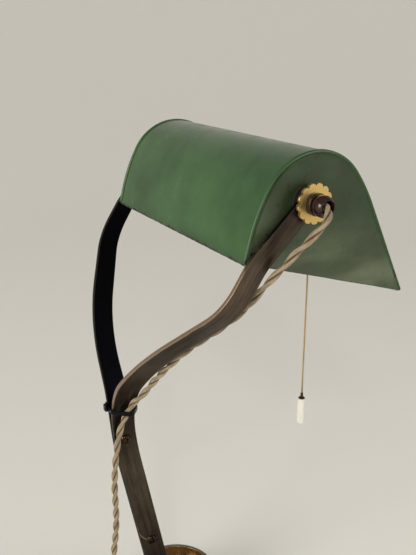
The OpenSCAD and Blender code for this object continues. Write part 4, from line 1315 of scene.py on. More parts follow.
@dataclass
class Shade:
    """The bent sheet and the two end plates with their folded rims.

    Each row of waves is one slow dent of the plates: depth, two wave numbers per millimetre, phase.
    """

    pivot: Pivot
    length: float = 230.0
    crown_r: float = 47.0
    mouth_w: float = 156.5
    crown_h: float = 43.5
    crown_u: float = 49.3
    ease_r: float = 150.0
    rear_ease: float = 15.0
    front_ease: float = 12.0
    pivot_u: float = 37.5
    pivot_v: float = 52.5
    tilt: float = 16.4
    sheet_t: float = 1.0
    hem_r: float = 1.8
    rim_w: float = 3.5
    rim_t: float = 0.8
    rim_nose: float = 1.2
    plate_inset: float = 1.0
    lie_gap: float = 0.1
    flat_r: float = 26.0
    waves: tuple = (
        (0.30, 0.075, 0.130, 0.4), (0.22, -0.160, 0.110, 1.9), (0.16, 0.190, 0.210, 3.1), (0.10, 0.060, -0.330, 0.8),
    )
    dent_start: float = 6.0
    dent_fade: float = 90.0
    step: float = 4.0
    stations: int = 41
    rim_ease: float = 0.3
    tongue: float = 6.0
    tuck: float = 0.1
    swell: float = 0.7
    swell_reach: float = 1.1
    white_hem: float = 0.75
    worn_hem: float = 0.8
    hem_wear: float = 9.0
    corner_wear: float = 16.0
    face_wear: float = 3.5
    speck_reach: float = 16.0
    # Reach of the painted sheen up from a plate's lower edge.
    dust_reach: float = 34.0

    def __post_init__(self) -> None:
        """Work out the section's path, from the rear edge over the crown to the front edge."""
        self.rear = np.array([self.pivot_u, -self.pivot_v])
        front = np.array([self.pivot_u - self.mouth_w, -self.pivot_v])
        crown = np.array([self.pivot_u - self.crown_u, self.crown_h - self.pivot_v])
        gap = self.ease_r - self.crown_r

        def wall(edge: np.ndarray, ease: float) -> tuple[float, float]:
            """Length of a flat wall, and its angle to the line from its edge to the crown's middle.

            Args:
                edge: The sheet's edge below the wall.
                ease: Turn of the bend above it, in degrees.

            Returns:
                The length, and the angle in degrees.
            """
            a = math.radians(ease)
            reach = self.ease_r - gap * math.cos(a)
            far = float(np.linalg.norm(edge - crown))
            length = math.sqrt(far**2 - reach**2) - gap * math.sin(a)
            return length, math.degrees(math.asin(reach / far))

        rear_l, rear_a = wall(self.rear, self.rear_ease)
        front_l, front_a = wall(front, self.front_ease)
        up, down = crown - self.rear, front - crown
        self.heading = math.degrees(math.atan2(up[1], up[0])) - rear_a
        front_heading = math.degrees(math.atan2(down[1], down[0])) + front_a + 360
        turn = front_heading - self.heading - self.rear_ease - self.front_ease
        self.path: list[Segment] = [
            Straight(rear_l),
            Bend(self.ease_r, self.rear_ease),
            Bend(self.crown_r, turn),
            Bend(self.ease_r, self.front_ease),
            Straight(front_l),
        ]

    def walked(self, path: Sequence[Segment], local: Sequence[float], heading: float) -> Trace:
        """Trace a path that starts at a place beside the rear edge, tilted as the shade is."""
        start = turned(self.rear + turned(np.array(local, float), self.heading), self.tilt)
        return trace(path, start, self.tilt + self.heading + heading, self.step)

    def sheet(self) -> Surface:
        """The bent sheet: its hemmed section, closed, carried along x.

        Returns:
            The sheet, with its wear and its white inside.
        """
        hem = Bend(self.hem_r, 180)
        line = self.walked([hem, *self.path, hem], (0, 2 * self.hem_r), 180)
        loop = np.concatenate([line.points, line.beside(self.sheet_t)[::-1]])
        end = self.length / 2 - self.rim_nose - self.lie_gap
        x = np.linspace(-end, end, self.stations)[:, None]
        surface = lofted(self.pivot.section(x, loop))
        low, roll = np.minimum(line.run, line.run[-1] - line.run), hem.size()
        worn = fade(np.abs(low - roll * self.worn_hem), self.hem_wear)
        edge = np.concatenate([worn, 0.6 * worn[::-1]])
        inner = np.concatenate([low < roll * self.white_hem, np.ones(len(low))])
        surface.mapped(x, np.concatenate([line.run, line.run[::-1]]))
        return surface.marked(inner=inner, edge=edge, speck=0.0, soil=0.25 * edge, dust=0.0)

    def plate(self) -> Surface:
        """One end plate at the far end: a folded rim along the section, and the face inside it.

        Returns:
            The rim and the face as one surface.
        """
        line = self.walked(self.path, (0, 0), 0)
        out, lip = -self.lie_gap - self.rim_t, self.sheet_t + self.lie_gap
        back = lip + self.rim_t
        r = (back - out) / 2
        a = angles(0, 180, 15)
        nose = np.stack([out + r + r * np.cos(a), r * (np.sin(a) - 1)], -1)
        hook = np.concatenate([
            nose,
            [[out, -self.rim_w + self.rim_ease], [out + self.rim_ease, -self.rim_w], [-self.lie_gap, -self.rim_w]],
            [[-self.lie_gap, -self.rim_nose], [lip, -self.rim_nose], [lip, -self.tongue], [back, -self.tongue]],
            [[back, -self.plate_inset - self.sheet_t / 2]],
        ])
        rows = np.stack([line.beside(q) for q in hook[:, 0]], 1)
        rim = lofted(self.pivot.section(self.length / 2 + hook[:, 1], rows))
        ridge = np.concatenate([np.clip(np.sin(a), 0, 1), np.full(len(hook) - len(a), 0.3)])
        corner = fade(np.minimum(line.run, line.run[-1] - line.run), self.corner_wear)
        rim.marked(
            inner=(hook[:, 0] > (lip + self.sheet_t) / 2) & (hook[:, 1] < -self.plate_inset),
            edge=np.clip(0.28 * ridge + 0.75 * corner[:, None], 0, 1),
            speck=ridge,
            soil=0.3 * ridge,
            dust=0.0,
        )
        return rim.joined(self.face(line, back - self.tuck, self.length / 2 - self.plate_inset))

    def dents(self, plane: np.ndarray) -> np.ndarray:
        """Shallow dents of a plate: a sum of slow waves, d sin(k . p + f), that die away at the pivot.

        Args:
            plane: Points of the plate, from the pivot.

        Returns:
            Height of the dents at each point.
        """
        waves = np.array(self.waves)
        level = np.sin(plane @ waves[:, 1:3].T + waves[:, 3]) @ waves[:, 0]
        return level * (1 - np.exp(-((np.linalg.norm(plane, axis=-1) / self.flat_r) ** 2)))

    def face(self, line: Trace, inset: float, x: float) -> Surface:
        """The plate's face as a closed slab: lines ruled from the rim's curve to the straight lower edge.

        At a share t down a ruling the point is (1 - t) top + t low. The outer side rises into the rim by
        s exp(-(depth / reach)^2), and both sides carry the same dents, deeper towards the lower edge.

        Args:
            line: The section's path.
            inset: Distance of the face's outline inside the path.
            x: Place of the face's outer side along the shade.

        Returns:
            The slab: for each ruling one ring, down the outer side and up the inner side.
        """
        top = line.beside(inset)
        sliver, border = 0.004, 0.06
        share = sliver + (1 - 2 * sliver) * (line.run / line.run[-1]) ** 1.1
        low = top[0] + (top[-1] - top[0]) * share[:, None]
        t = np.concatenate([np.linspace(0, border, 7)[:-1], np.linspace(border, 1, 44)])[:, None]
        plane = top[:, None] * (1 - t) + low[:, None] * t
        depth = np.linalg.norm(plane - top[:, None], axis=-1)
        floor = np.linalg.norm(plane - low[:, None], axis=-1)
        ease = np.clip(depth / self.dent_start, 0, 1) * np.clip(1.1 - floor / self.dent_fade, 0.25, 1)
        dents = self.dents(plane) * ease
        rise = self.swell * np.exp(-((depth / self.swell_reach) ** 2))
        outer = self.pivot.section(x + rise + dents, plane)
        inner = self.pivot.section(x - self.sheet_t + dents, plane)
        surface = lofted(two_sided(outer, inner)).flipped()
        worn = 0.95 * fade(floor, self.face_wear)
        specks = np.clip(2.4 * np.exp(-depth / self.speck_reach), 0, 1) * np.clip(0.6 + plane[..., 0] / 50, 0.2, 1)
        none, full = np.zeros(depth.shape), np.ones(depth.shape)
        return surface.marked(
            inner=two_sided(none, full),
            edge=two_sided(worn, worn),
            speck=two_sided(specks, none),
            # the outer side is darkened all over with dirt and painted shade
            soil=two_sided(full, none),
            # painted sheen, strongest at the lower edge
            dust=two_sided(np.exp(-((floor / self.dust_reach) ** 2)), none),
        )

    def make(self, maker: Maker) -> None:
        """Make the sheet and the plates.

        Args:
            maker: Takes the surfaces.
        """
        maker.piece("shade_sheet_skin", self.sheet(), Body.SHADE, "shade_sheet")
        plate = self.plate()
        maker.piece("far_plate_skin", plate, Body.SHADE, "far_end_plate")
        maker.piece("cord_plate_skin", plate.mirrored(), Body.SHADE, "cord_end_plate")


@dataclass
class Fork:
    """The two bent flat bars that make the fork and the stem.

    Their edges are worn bright, and on the sloping stretches, by the shares in the second row of rubbed at the run
    lengths in its first, the worn colour is painted light on edges that face up; where rubbed is low their narrow
    sides are painted black as shade, as is their inner face. The brown of their faces lightens by the shares of tone
    in the same way, and its dip where the bars meet is painted shade.
    """

    pivot: Pivot
    width: float = 20.0
    thick: float = 4.0
    tip_w: float = 15.5
    top_l: float = 52.0
    top_lean: float = 46.0
    top_bend: float = 60.0
    mid_l: float = 73.0
    mid_lean: float = 32.0
    mid_bend: float = 120.0
    upright: float = 12.0
    stem_bend: float = 340.0
    stem_l: float = 260.0
    stem_lean: float = 11.3
    inner_x: float = 116.5
    fork_top: float = 71.5
    fork_l: float = 168.5
    fork_top_r: float = 44.0
    fork_low_r: float = 75.0
    fork_slope: float = 19.09
    spare: float = 40.0
    step: float = 3.0
    cup_floor: float = 30.0
    foot_y: float = 11.0
    foot_l: float = 18.0
    foot_bend: float = 4.0
    foot_rise: float = 60.0
    foot_step: float = 4.0
    corner: float = 0.7
    edge_w: float = 1.2
    # Width of the narrow sides that are painted black as shade where they are not rubbed.
    side_w: float = 0.3
    # Shares of rubbing along the bars, high on the sloping stretches, where edges that face up are painted light.
    rubbed: tuple = ((30.0, 75.0, 215.0, 260.0), (0.0, 1.0, 1.0, 0.0))
    # Lightness of the brown along the bars; its dip at 225 to 250 mm, where the bars meet, is painted shade.
    tone: tuple = (
        (0.0, 40.0, 80.0, 130.0, 190.0, 225.0, 250.0, 290.0, 420.0),
        (0.5, 0.6, 0.9, 1.0, 0.75, 0.15, 0.15, 0.75, 0.6),
    )
    # Share of rubbing on the far bar: less painted light on its edges, more painted shade on its sides.
    far_wear: float = 0.2
    cord_wear: float = 1.0

    def __post_init__(self) -> None:
        """Work out where the foot's bend begins, and the stretches that a bar widens along."""
        self.foot_top = self.cup_floor + self.thick + self.foot_bend
        self.upper: list[Segment] = [
            Straight(self.top_l),
            Bend(self.top_bend, self.mid_lean - self.top_lean),
            Straight(self.mid_l),
            Bend(self.mid_bend, -self.mid_lean),
            Straight(self.upright),
        ]

    def side_view(self) -> Trace:
        """Middle line of a bar seen from the side, as (rearward, up) from the pivot."""
        stem = [Bend(self.stem_bend, -self.stem_lean), Straight(self.stem_l)]
        return trace([*self.upper, *stem], (0, 0), self.top_lean - 90, self.step)

    def front_view(self) -> tuple[np.ndarray, np.ndarray, np.ndarray]:
        """Inner and outer faces of a bar seen along the fork's bend lines.

        Returns:
            Distances down the fork, and the x of the inner and of the outer face there.
        """
        both = self.fork_top_r + self.fork_low_r
        diag = math.sqrt(self.fork_l**2 + self.inner_x**2 - 2 * both * self.inner_x)
        turn = math.degrees(math.atan2(self.inner_x - both, self.fork_l) + math.atan2(both, diag))
        path = [
            Straight(self.spare),
            Bend(self.fork_low_r, -turn),
            Straight(diag),
            Bend(self.fork_top_r, turn),
            Straight(self.spare + self.fork_top),
        ]
        low = self.fork_top + self.fork_l + self.spare
        line = trace(path, (low, self.thick / 2), 180, self.step)
        down = np.linspace(-self.spare, low, 600)
        inner, outer = (np.interp(down, *line.beside(side * self.thick / 2)[::-1].T) for side in (1, -1))
        return down, inner, outer

    def ring(self, half: np.ndarray) -> tuple[np.ndarray, np.ndarray]:
        """Rounded section of the bar at each station.

        Args:
            half: Half of the bar's width at each station.

        Returns:
            Places across the width, and shares through the thickness, one row for each station.
        """
        r = np.minimum(self.corner, 0.45 * half)[:, None]
        a = angles(0, 90, 4)
        c, s = np.cos(a), np.sin(a)
        stops = np.linspace(0, 1, 9)[1:-1]
        across, through = [], []
        h, t = half[:, None], self.thick
        for sx, sy in ((1, 1), (-1, 1), (-1, -1), (1, -1)):
            u, v = (c, s) if sx == sy else (s, c)
            across.append(sx * (h - r + r * u))
            through.append(t / 2 + sy * (t / 2 - r) + sy * r * v)
            if sx == sy:
                across.append(across[-1][:, -1:] * (1 - 2 * stops))
                through.append(np.broadcast_to(through[-1][:, -1:], across[-1].shape))
        return np.concatenate(across, 1), np.concatenate(through, 1) / t

    def foot(self, top: float) -> tuple[np.ndarray, np.ndarray]:
        """The low end of a bar: straight down beside the other one, then bent out along the cup's floor.

        Args:
            top: Height that it starts at.

        Returns:
            Its points, one row for each station, and the run length at each.
        """
        bend = Bend(self.foot_bend + self.thick / 2, 90)
        path = [Straight(top - self.foot_top), bend, Straight(self.foot_l)]
        line = trace(path, (self.thick / 2, top), -90, self.foot_step)
        line = line.part(self.foot_step, line.run[-1])
        across, through = self.ring(np.full(len(line.run), self.width / 2))
        out = ray(np.radians(line.heading + 90))
        lift = (through - 0.5) * self.thick
        x, z = (line.points[:, k, None] + lift * out[:, k, None] for k in (0, 1))
        lean = math.radians(self.stem_lean)
        y = self.foot_y + (z - self.cup_floor) * math.tan(lean) + across / math.cos(lean)
        return np.stack([x, y, z], -1), line.run

    def bar(self, worn: float) -> Surface:
        """One bar on the far side: stations along the side view, then along the bent foot.

        Args:
            worn: Share of the rubbing that shows on its edges and sides: the worn colour painted as light on rubbed
                edges, and less painted black shade on the sides.

        Returns:
            The bar, closed.
        """
        line = self.side_view()
        height = line.points[:, 1] + self.pivot.z - self.foot_top
        line = line.part(0, line.run[np.argmin(np.abs(height - self.foot_rise))])
        a = angles(86, 0, 12)[:-1]
        tip = self.tip_w / 2
        back, start = -tip * np.sin(a), math.radians(line.heading[0])
        middle = np.concatenate([back[:, None] * ray(start), line.points])
        heading = np.concatenate([np.full(len(a), start), np.radians(line.heading)])
        taper = sum(s.size() for s in self.upper)
        width = self.tip_w + (self.width - self.tip_w) * np.minimum(1, line.run / taper)
        half = np.concatenate([tip * np.cos(a), width / 2])
        across, through = self.ring(half)
        plane = middle[:, None] + across[..., None] * ray(heading + math.pi / 2)[:, None]
        slope = math.radians(self.fork_slope)
        s = math.sin(slope) * plane[..., 0] - math.cos(slope) * plane[..., 1]
        down, inner, outer = self.front_view()
        x = np.interp(s, down, inner) * (1 - through) + np.interp(s, down, outer) * through
        foot, foot_run = self.foot(line.points[-1, 1] + self.pivot.z)
        rows = np.concatenate([self.pivot.section(x, plane), foot])
        run = np.concatenate([back, line.run, line.run[-1] + foot_run])
        half = np.concatenate([half, np.full(len(foot), self.width / 2)])
        wide, deep = self.ring(half)
        inset = half[:, None] - np.abs(wide)
        # Painted light and shade: rubbed edges take the worn colour as if lit; unrubbed narrow sides and the inner
        # face go black as shade.
        rubbed = worn * np.interp(run, *self.rubbed)[:, None]
        side = fade(inset, self.side_w) * (1 - rubbed)
        surface = lofted(rows).marked(
            edge=fade(inset, self.edge_w) * np.maximum(rubbed, 0.52 + 0.2 * worn),
            inner=np.maximum(fade(deep, 0.2), 0.85 * side),
            tone=np.interp(run, *self.tone)[:, None],
        )
        return surface.mapped(run[:, None], wide + 9 * deep)

    def make(self, maker: Maker) -> None:
        """Make both bars; the far one is less rubbed, so its edges get less painted light and its sides keep more
        painted shade.
        """
        maker.piece("far_bar", self.bar(self.far_wear), Body.STAND, "far_arm")
        maker.piece("cord_bar", self.bar(self.cord_wear).mirrored(), Body.STAND, "cord_arm")


@dataclass
class Flex:
    """The twisted cloth flex: its route, its coil and the tail.

    The twist takes one turn in each pitch, and the pitches hold at the lengths of pitch_at.
    """

    diameter: float = 6.0
    strand_r: float = 1.64
    strand_off: float = 1.32
    sides: int = 14
    pitch: tuple[float, ...] = (44.0, 34.0, 23.0)
    pitch_at: tuple[float, ...] = (0.0, 250.0, 400.0)
    twist_ref: tuple[float, float, float] = (0.45, 0.45, 0.77)
    coil_mid: tuple[float, float] = (-100.0, 86.5)
    coil_z: float = 4.3
    coil_r: float = 41.5
    coil_pitch: float = 6.6
    coil_in: float = 2.375
    coil_over: float = 0.5
    spacing: float = 1.1
    lead: tuple = (
        (-134, -53.887, 442), (-137, -53.887, 442), (-141.5, -52.987, 441), (-145, -50.487, 438.5),
        (-147.2, -47.487, 435.3), (-147.5, -43.987, 431.5), (-145.5, -40.287, 426.8), (-142, -36.487, 420.5),
        (-136.4, -31.987, 412.6), (-130.8, -26.787, 402.7), (-124.356, -20.987, 392.5), (-117.608, -15.587, 381.5),
        (-112.547, -10.487, 371.5), (-107.004, -2.987, 361.5), (-98.569, 5.913, 350.5), (-88.809, 11.313, 341.2),
        (-80.253, 16.013, 333.2), (-73.264, 19.513, 326.5), (-66.757, 23.213, 319.3), (-59.527, 27.013, 311),
        (-47.477, 31.613, 297.3), (-34.825, 34.513, 283), (-24.703, 39.213, 268.9), (-15.786, 45.013, 257),
        (-11.448, 50.013, 245), (-9.2, 55.005, 229.565), (-9, 58.826, 209.965), (-9.6, 61.789, 185.955),
        (-10, 62.803, 135.975), (-11, 65.845, 114.905), (-12, 69.042, 92.12), (-13, 74.033, 68.11),
        (-15, 80.038, 45.08), (-19, 87.993, 24.01), (-27, 97.975, 10.045), (-40, 110, 4.3),
        (-57, 120.5, 4.3), (-73, 126.5, 4.3), (-85, 128, 4.3), (-94, 128, 4.3),
    )
    tail: tuple = (
        (-141.5, 80.5, 10.9), (-141.5, 72, 10.9), (-138.5, 57, 12),
        (-132.5, 41, 13.7), (-127, 27, 14.8), (-124, 14, 15), (-124, 5, 15),
    )

    def coil(self) -> np.ndarray:
        """Turns of the coil: in along the table, up a layer in half a turn, and out again.

        Returns:
            Points of the coil's middle line.
        """
        half = self.coil_in + self.coil_over / 2
        u = np.linspace(0, 2 * half, 240)
        r = self.coil_r - self.coil_pitch * half + self.coil_pitch * np.abs(u - half)
        c = np.clip((u - self.coil_in) / self.coil_over, 0, 1)
        a = np.radians(90 + 360 * u)
        z = self.coil_z + self.coil_pitch * c * c * (3 - 2 * c)
        return np.stack([self.coil_mid[0] + r * np.cos(a), self.coil_mid[1] + r * np.sin(a), z], -1)

    def middle(self) -> np.ndarray:
        """Middle line of the whole flex, evenly spaced."""
        return smooth_line(np.concatenate([np.array(self.lead), self.coil(), np.array(self.tail)]), self.spacing)

    def strand(self, line: np.ndarray, phase: float) -> Surface:
        """One strand wound round the line: p + off (cos(t) n + sin(t) b), where t grows by a turn in each pitch.

        Args:
            line: Middle of the flex.
            phase: Angle that the strand starts at.

        Returns:
            The strand, with painted shade marked where it faces the other strand: up to 1 there, less away from it.
        """
        n, b = framed(line, self.twist_ref)
        run = run_of(line)
        turns = np.gradient(run) / np.interp(run, self.pitch_at, self.pitch)
        t = TURN * np.cumsum(turns)[:, None] + phase
        out = np.cos(t) * n + np.sin(t) * b
        middle = line + self.strand_off * out
        surface = swept_tube(middle, self.strand_r, self.sides, self.twist_ref)
        away = surface.points.reshape(*surface.shape, 3) - middle[:, None]
        inward = -np.einsum("ijk,ik->ij", away, out) / self.strand_r
        # painted shade: points that face the other strand are darkened
        return surface.marked(crease=np.clip(1.5 * inward + 0.05, 0, 0.93))

    def make(self, maker: Maker) -> None:
        """Args:
            maker: Takes the surfaces.
        """
        line = self.middle()
        pair = self.strand(line, 0).joined(self.strand(line, math.pi))
        flex = maker.piece("twisted_flex", pair, Body.STAND, "flex_lead", "flex_coil", "flex_tail")


@dataclass
class Pull:
    """The pull of the switch: a laid cord with a loop and a knot, a dark ferrule and a white knob."""

    x: float = -89.0
    y: float = -77.8867
    top: float = 418.0
    low: float = 266.0
    cord_r: float = 0.7
    lay_dip: float = 0.2
    lay_pitch: float = 5.0
    loop_z: float = 420.5
    loop_r: float = 2.0
    loop_wire: float = 0.6
    knot_r: float = 1.5
    ferrule_h: float = 5.0
    ferrule_r: float = 1.2
    knob_r: float = 3.5
    soiled: float = 9.0
    knob_h: float = 23.0

    def rope(self) -> Surface:
        """Three laid yarns, dark near the knob: r - d (1 - |cos(1.5 (a - 2 pi z / p))|) at angle a and height z.

        Returns:
            The cord, closed.
        """
        z = np.linspace(self.low, self.top, 420)[:, None]
        a = circle(18)
        r = self.cord_r - self.lay_dip * (1 - np.abs(np.cos(1.5 * (a - TURN * z / self.lay_pitch))))
        rows = stacked(self.x + r * np.cos(a), self.y + r * np.sin(a), z)
        dark = 0.8 * np.exp(-(((z - self.low - self.ferrule_h) / self.soiled) ** 2))
        return lofted(rows).mapped(z, a / TURN).marked(crease=dark)

    def loop(self) -> Surface:
        """The loop as a torus about x, with the knot under it: a ball of radius r (0.95 + 0.05 cos(2 d + 3 c)).

        Returns:
            The loop and the knot, closed.
        """
        a, b = circle(40)[:, None], circle(12)
        reach = self.loop_r + self.loop_wire * np.cos(b)
        rows = stacked(
            self.x + self.loop_wire * np.sin(b), self.y + reach * np.cos(a), self.loop_z + reach * np.sin(a),
        )
        ring = lofted(rows, ring=True).flipped()
        c, d = angles(-88, 88, 19)[:, None], circle(28)
        r = self.knot_r * (0.95 + 0.05 * np.cos(2 * d + 3 * c))
        rows = stacked(
            self.x + r * np.cos(c) * np.cos(d), self.y + r * np.cos(c) * np.sin(d), self.top + r * np.sin(c),
        )
        return ring.joined(lofted(rows))

    def ferrule(self) -> Surface:
        """A slim crimped sleeve on a thin disc that covers the knob's top.

        Returns:
            The sleeve and its disc, closed.
        """
        r, h, disc = self.ferrule_r, self.ferrule_h, self.knob_r - 0.9
        corners = [
            (0, 0, 0), (disc, 0, 0.2), (disc, 0.7, 0.3), (r, 0.9, 0.2), (r, 2.1, 0.2),
            (r - 0.15, 2.4, 0.1), (r - 0.15, 3.0, 0.1), (r, 3.3, 0.2), (r - 0.1, h, 0.4), (0, h, 0),
        ]
        return lathe(filleted(corners, 4), (self.x, self.y, self.low), Axis.UP, 40)

    def knob(self) -> Surface:
        """A turned knob, a little fuller at its foot, with rounded ends.

        Returns:
            The knob, closed.
        """
        r, h = self.knob_r, self.knob_h
        corners = [(0, 0, 0), (r, 0, 0.8), (r, h / 2, 40), (r - 0.1, h, 0.6), (0, h, 0)]
        return lathe(filleted(corners, 8), (self.x, self.y, self.low - h), Axis.UP, 48)

    def make(self, maker: Maker) -> None:
        """Make the pull's pieces.

        Args:
            maker: Takes the surfaces.
        """
        rope = maker.piece("pull_rope", self.rope(), Body.PULL, "pull_cord")
        maker.piece("pull_loop", self.loop(), Body.PULL, "pull_cord")
        ferrule = maker.piece("pull_sleeve", self.ferrule(), Body.PULL, "pull_ferrule")
        knob = maker.piece("pull_handle", self.knob(), Body.PULL, "pull_knob")


@dataclass
class Base:
    """The cast base: a plinth that sweeps up into the cup round the bars' feet."""

    radius: float = 75.0
    under: float = 1.5
    felt_t: float = 2.5
    felt_r: float = 72.1
    ease: float = 1.0
    plinth: float = 9.5
    edge_r: float = 3.0
    sweep_r: float = 22.0
    cup_r: float = 40.0
    wall: float = 3.5
    rim_z: float = 52.0
    floor_z: float = 30.0
    fillet: float = 3.0
    around: int = 144

    def surface(self) -> Surface:
        """The outline from the felt's seat over the plinth and the lip to the cup's floor, turned.

        Returns:
            The casting, with its brown cup and its worn lip.
        """
        lip = self.wall / 2
        inside = self.cup_r - self.wall
        outer = np.concatenate([
            [[0, self.felt_t], [self.felt_r, self.felt_t], [self.felt_r, self.under]],
            [[self.radius - self.ease, self.under], [self.radius, self.under + self.ease]],
            arc((self.radius - self.edge_r, self.plinth - self.edge_r), self.edge_r, 0, 90),
            arc((self.cup_r + self.sweep_r, self.plinth + self.sweep_r), self.sweep_r, 270, 180, 16),
        ])
        round_ = arc((self.cup_r - lip, self.rim_z - lip), lip, 0, 180, 12)
        cup = np.concatenate([
            arc((inside - self.fillet, self.floor_z + self.fillet), self.fillet, 0, -90), [[0, self.floor_z]],
        ])
        flat, edge = np.zeros(len(outer)), np.sin(np.linspace(0, math.pi, len(round_)))
        inner = np.concatenate([flat, np.linspace(0, 1, len(round_)) ** 2, np.ones(len(cup))])
        edge = np.concatenate([flat, edge, np.zeros(len(cup))])
        surface = lathe(np.concatenate([outer, round_, cup]), (0, 0, 0), Axis.UP, self.around)
        return surface.marked(inner=inner[:, None], edge=edge[:, None])

    def make(self, maker: Maker) -> None:
        """Make the casting."""
        maker.piece("cast_base", self.surface(), Body.STAND, "base_casting")


@dataclass
class StemTie:
    """The nylon tie round the stem and the flex: a band round posts, and its head.

    Each post is (x, y, radius) of a corner that the band runs round, going left.
    """

    posts: tuple = (
        (9.219, 40.520, 1.5), (6.531, 58.599, 1.5), (-6.531, 58.599, 1.5),
        (-12.482, 48.821, 3.8), (-13.928, 47.154, 3.8), (-9.219, 40.520, 1.5),
    )
    low: float = 247.863
    height: float = 4.0
    thick: float = 1.2
    ease: float = 0.25
    rear: float = 60.099
    head: tuple[float, float, float] = (5.0, 3.0, 6.0)
    head_r: float = 0.6

    def band(self) -> Surface:
        """A rounded strip: the belt round the posts at each corner of the strip's section.

        Returns:
            The band, closed.
        """
        e, t, h = self.ease, self.thick, self.height
        section = ((e, 0), (t - e, 0), (t, e), (t, h - e), (t - e, h), (e, h), (0, h - e), (0, e))
        rows = [stacked(*belt(self.posts, out).T, self.low + z) for out, z in section]
        return lofted(np.stack(rows), ring=True)

    def make(self, maker: Maker) -> None:
        """Make the band with its head.

        Args:
            maker: Takes the surfaces.
        """
        low = (0, self.rear + self.thick / 2, self.low + self.height / 2 - self.head[2] / 2)
        tie = self.band().joined(rounded_box(low, self.head, self.head_r))
        maker.piece("stem_tie", tie, Body.STAND, "cable_tie")


@dataclass
class PivotPieces:
    """What shows on the tilting line: the two scalloped nuts and the moulded bush."""

    pivot: Pivot
    nut_x: float = 120.65
    nut_t: float = 5.0
    nut_r: float = 15.0
    bore_r: float = 5.05
    lobes: int = 13
    lobe_r: float = 3.1
    web: float = 0.5
    ease: float = 0.35
    hub_r: float = 11.4
    hub_t: float = 2.6
    bush_x: float = 125.8
    bush_l: float = 14.5
    collar_r: float = 8.25
    collar: float = 4.0
    ball_r: float = 8.0
    mouth_r: float = 5.0
    lip: float = 0.6
    seat_r: float = 5.1
    seat: float = 5.0
    throat_r: float = 3.6
    shoulder: float = 8.2
    flex_bore: float = 2.5
    around: int = 72
    per_lobe: int = 20
    # Profile rows over which the collar's painted shade fades from full to none.
    dull_rows: tuple[int, int] = (4, 11)

    def nut(self) -> Surface:
        """A scalloped nut on the far side: a plate with lobes on a plain hub that is darkened with painted shade.

        Between two lobes its radius is that of the web, and on a lobe c cos(d) + sqrt(p^2 - c^2 sin(d)^2),
        where d is the angle to the lobe's middle, c its distance and p its radius; a chamfer caps it.

        Returns:
            The nut, closed round its bore.
        """
        a = circle(self.per_lobe * self.lobes)
        turn = TURN / self.lobes
        d = (a + turn / 2) % turn - turn / 2
        c = self.nut_r - self.lobe_r
        lobe = c * np.cos(d) + np.sqrt(np.maximum(self.lobe_r**2 - (c * np.sin(d)) ** 2, 0))
        radius = np.where(c * np.abs(np.sin(d)) < self.lobe_r, np.maximum(lobe, c + self.web), c + self.web)
        steps = np.linspace(0, self.ease, 4)
        height = np.concatenate([self.hub_t + steps, self.nut_t - steps[::-1]])
        room = np.minimum(height - self.hub_t, self.nut_t - height)
        plate = np.minimum(radius, (self.nut_r - self.ease + room)[:, None])
        hub = np.array([[self.bore_r], [self.hub_r], [self.hub_r], [self.hub_r]]) * np.ones(len(a))
        over = (self.bore_r + (plate[-1] - self.bore_r) * np.linspace(0, 1, 4)[:-1, None])[::-1]
        r = np.concatenate([hub, plate, over])
        x = self.nut_x + np.concatenate([[0, 0, self.hub_t / 2, self.hub_t], height, np.full(len(over), self.nut_t)])
        rows = stacked(x[:, None], self.pivot.y + r * np.sin(a), self.pivot.z - r * np.cos(a))
        # The hub behind the lobed plate is darkened, fading into the plate: painted shade with some tarnish.
        grime = np.concatenate([np.ones(5), np.linspace(0.9, 0, 4), np.zeros(len(r) - 9)])
        return lofted(rows, ring=True).marked(grime=grime[:, None])

    def bush(self) -> Surface:
        """The bush: a rounded collar, dull and darkened with painted shade next to the nut, a ball with an open
        mouth, and the bore, turned about the pivot line.

        Returns:
            The bush, closed round its bore.
        """
        open_ = math.asin((self.mouth_r + self.lip) / self.ball_r)
        middle = self.bush_l - self.ball_r * math.cos(open_)
        neck = math.degrees(math.asin((middle - self.collar) / self.ball_r))
        c, h = self.collar_r, self.collar
        foot = filleted([
            (self.seat_r, 0, 0), (c, 0, 0.8), (c + 0.15, h / 2, 3), (c, h, 0.9), (c - 2.2, h, 0),
        ], 5)
        profile = np.concatenate([
            foot,
            arc((0, middle), self.ball_r, -neck, 90 - math.degrees(open_), 22),
            [[self.mouth_r, self.bush_l], [self.throat_r, self.shoulder], [self.flex_bore, self.shoulder]],
            [[self.flex_bore, self.seat], [self.seat_r, self.seat]],
        ])
        surface = lathe(profile, self.pivot.centre(-self.bush_x), Axis.TO_CORD_END, self.around, ring=True)
        # The collar is marked dull: rougher, and darkened as painted shade next to the nut.
        dull = np.interp(np.arange(len(profile)) - len(foot), self.dull_rows, (1.0, 0.0))
        return surface.marked(dull=dull[:, None])

    def make(self, maker: Maker) -> None:
        """Make the nuts and the bush.

        Args:
            maker: Takes the surfaces.
        """
        nut = self.nut()
        maker.piece("far_scalloped_nut", nut, Body.FAR_NUT, "far_thumb_nut")
        maker.piece("cord_scalloped_nut", nut.mirrored(), Body.CORD_NUT, "cord_thumb_nut")
        maker.piece("moulded_bush", self.bush(), Body.SHADE, "cord_bush")


def facing(way: Vector) -> Euler:
    """Turn that points a camera or a light along a direction."""
    return way.to_track_quat("-Z", "Y").to_euler()


@dataclass(frozen=True)
class Lamp:
    """One square area light, in metres and watts."""

    name: str
    at: tuple[float, float, float]
    size: float
    power: float
    colour: Colour

    def make(self, aim: Sequence[float]) -> None:
        """Point the light at a place and keep it out of the camera's sight.

        Args:
            aim: The place, in metres.
        """
        data = bpy.data.lights.new(self.name, "AREA")
        data.size, data.energy, data.color = self.size, self.power, self.colour
        thing = placed(self.name, data)
        thing.location = self.at
        thing.rotation_euler = facing(Vector(aim) - Vector(self.at))
        thing.visible_camera = False


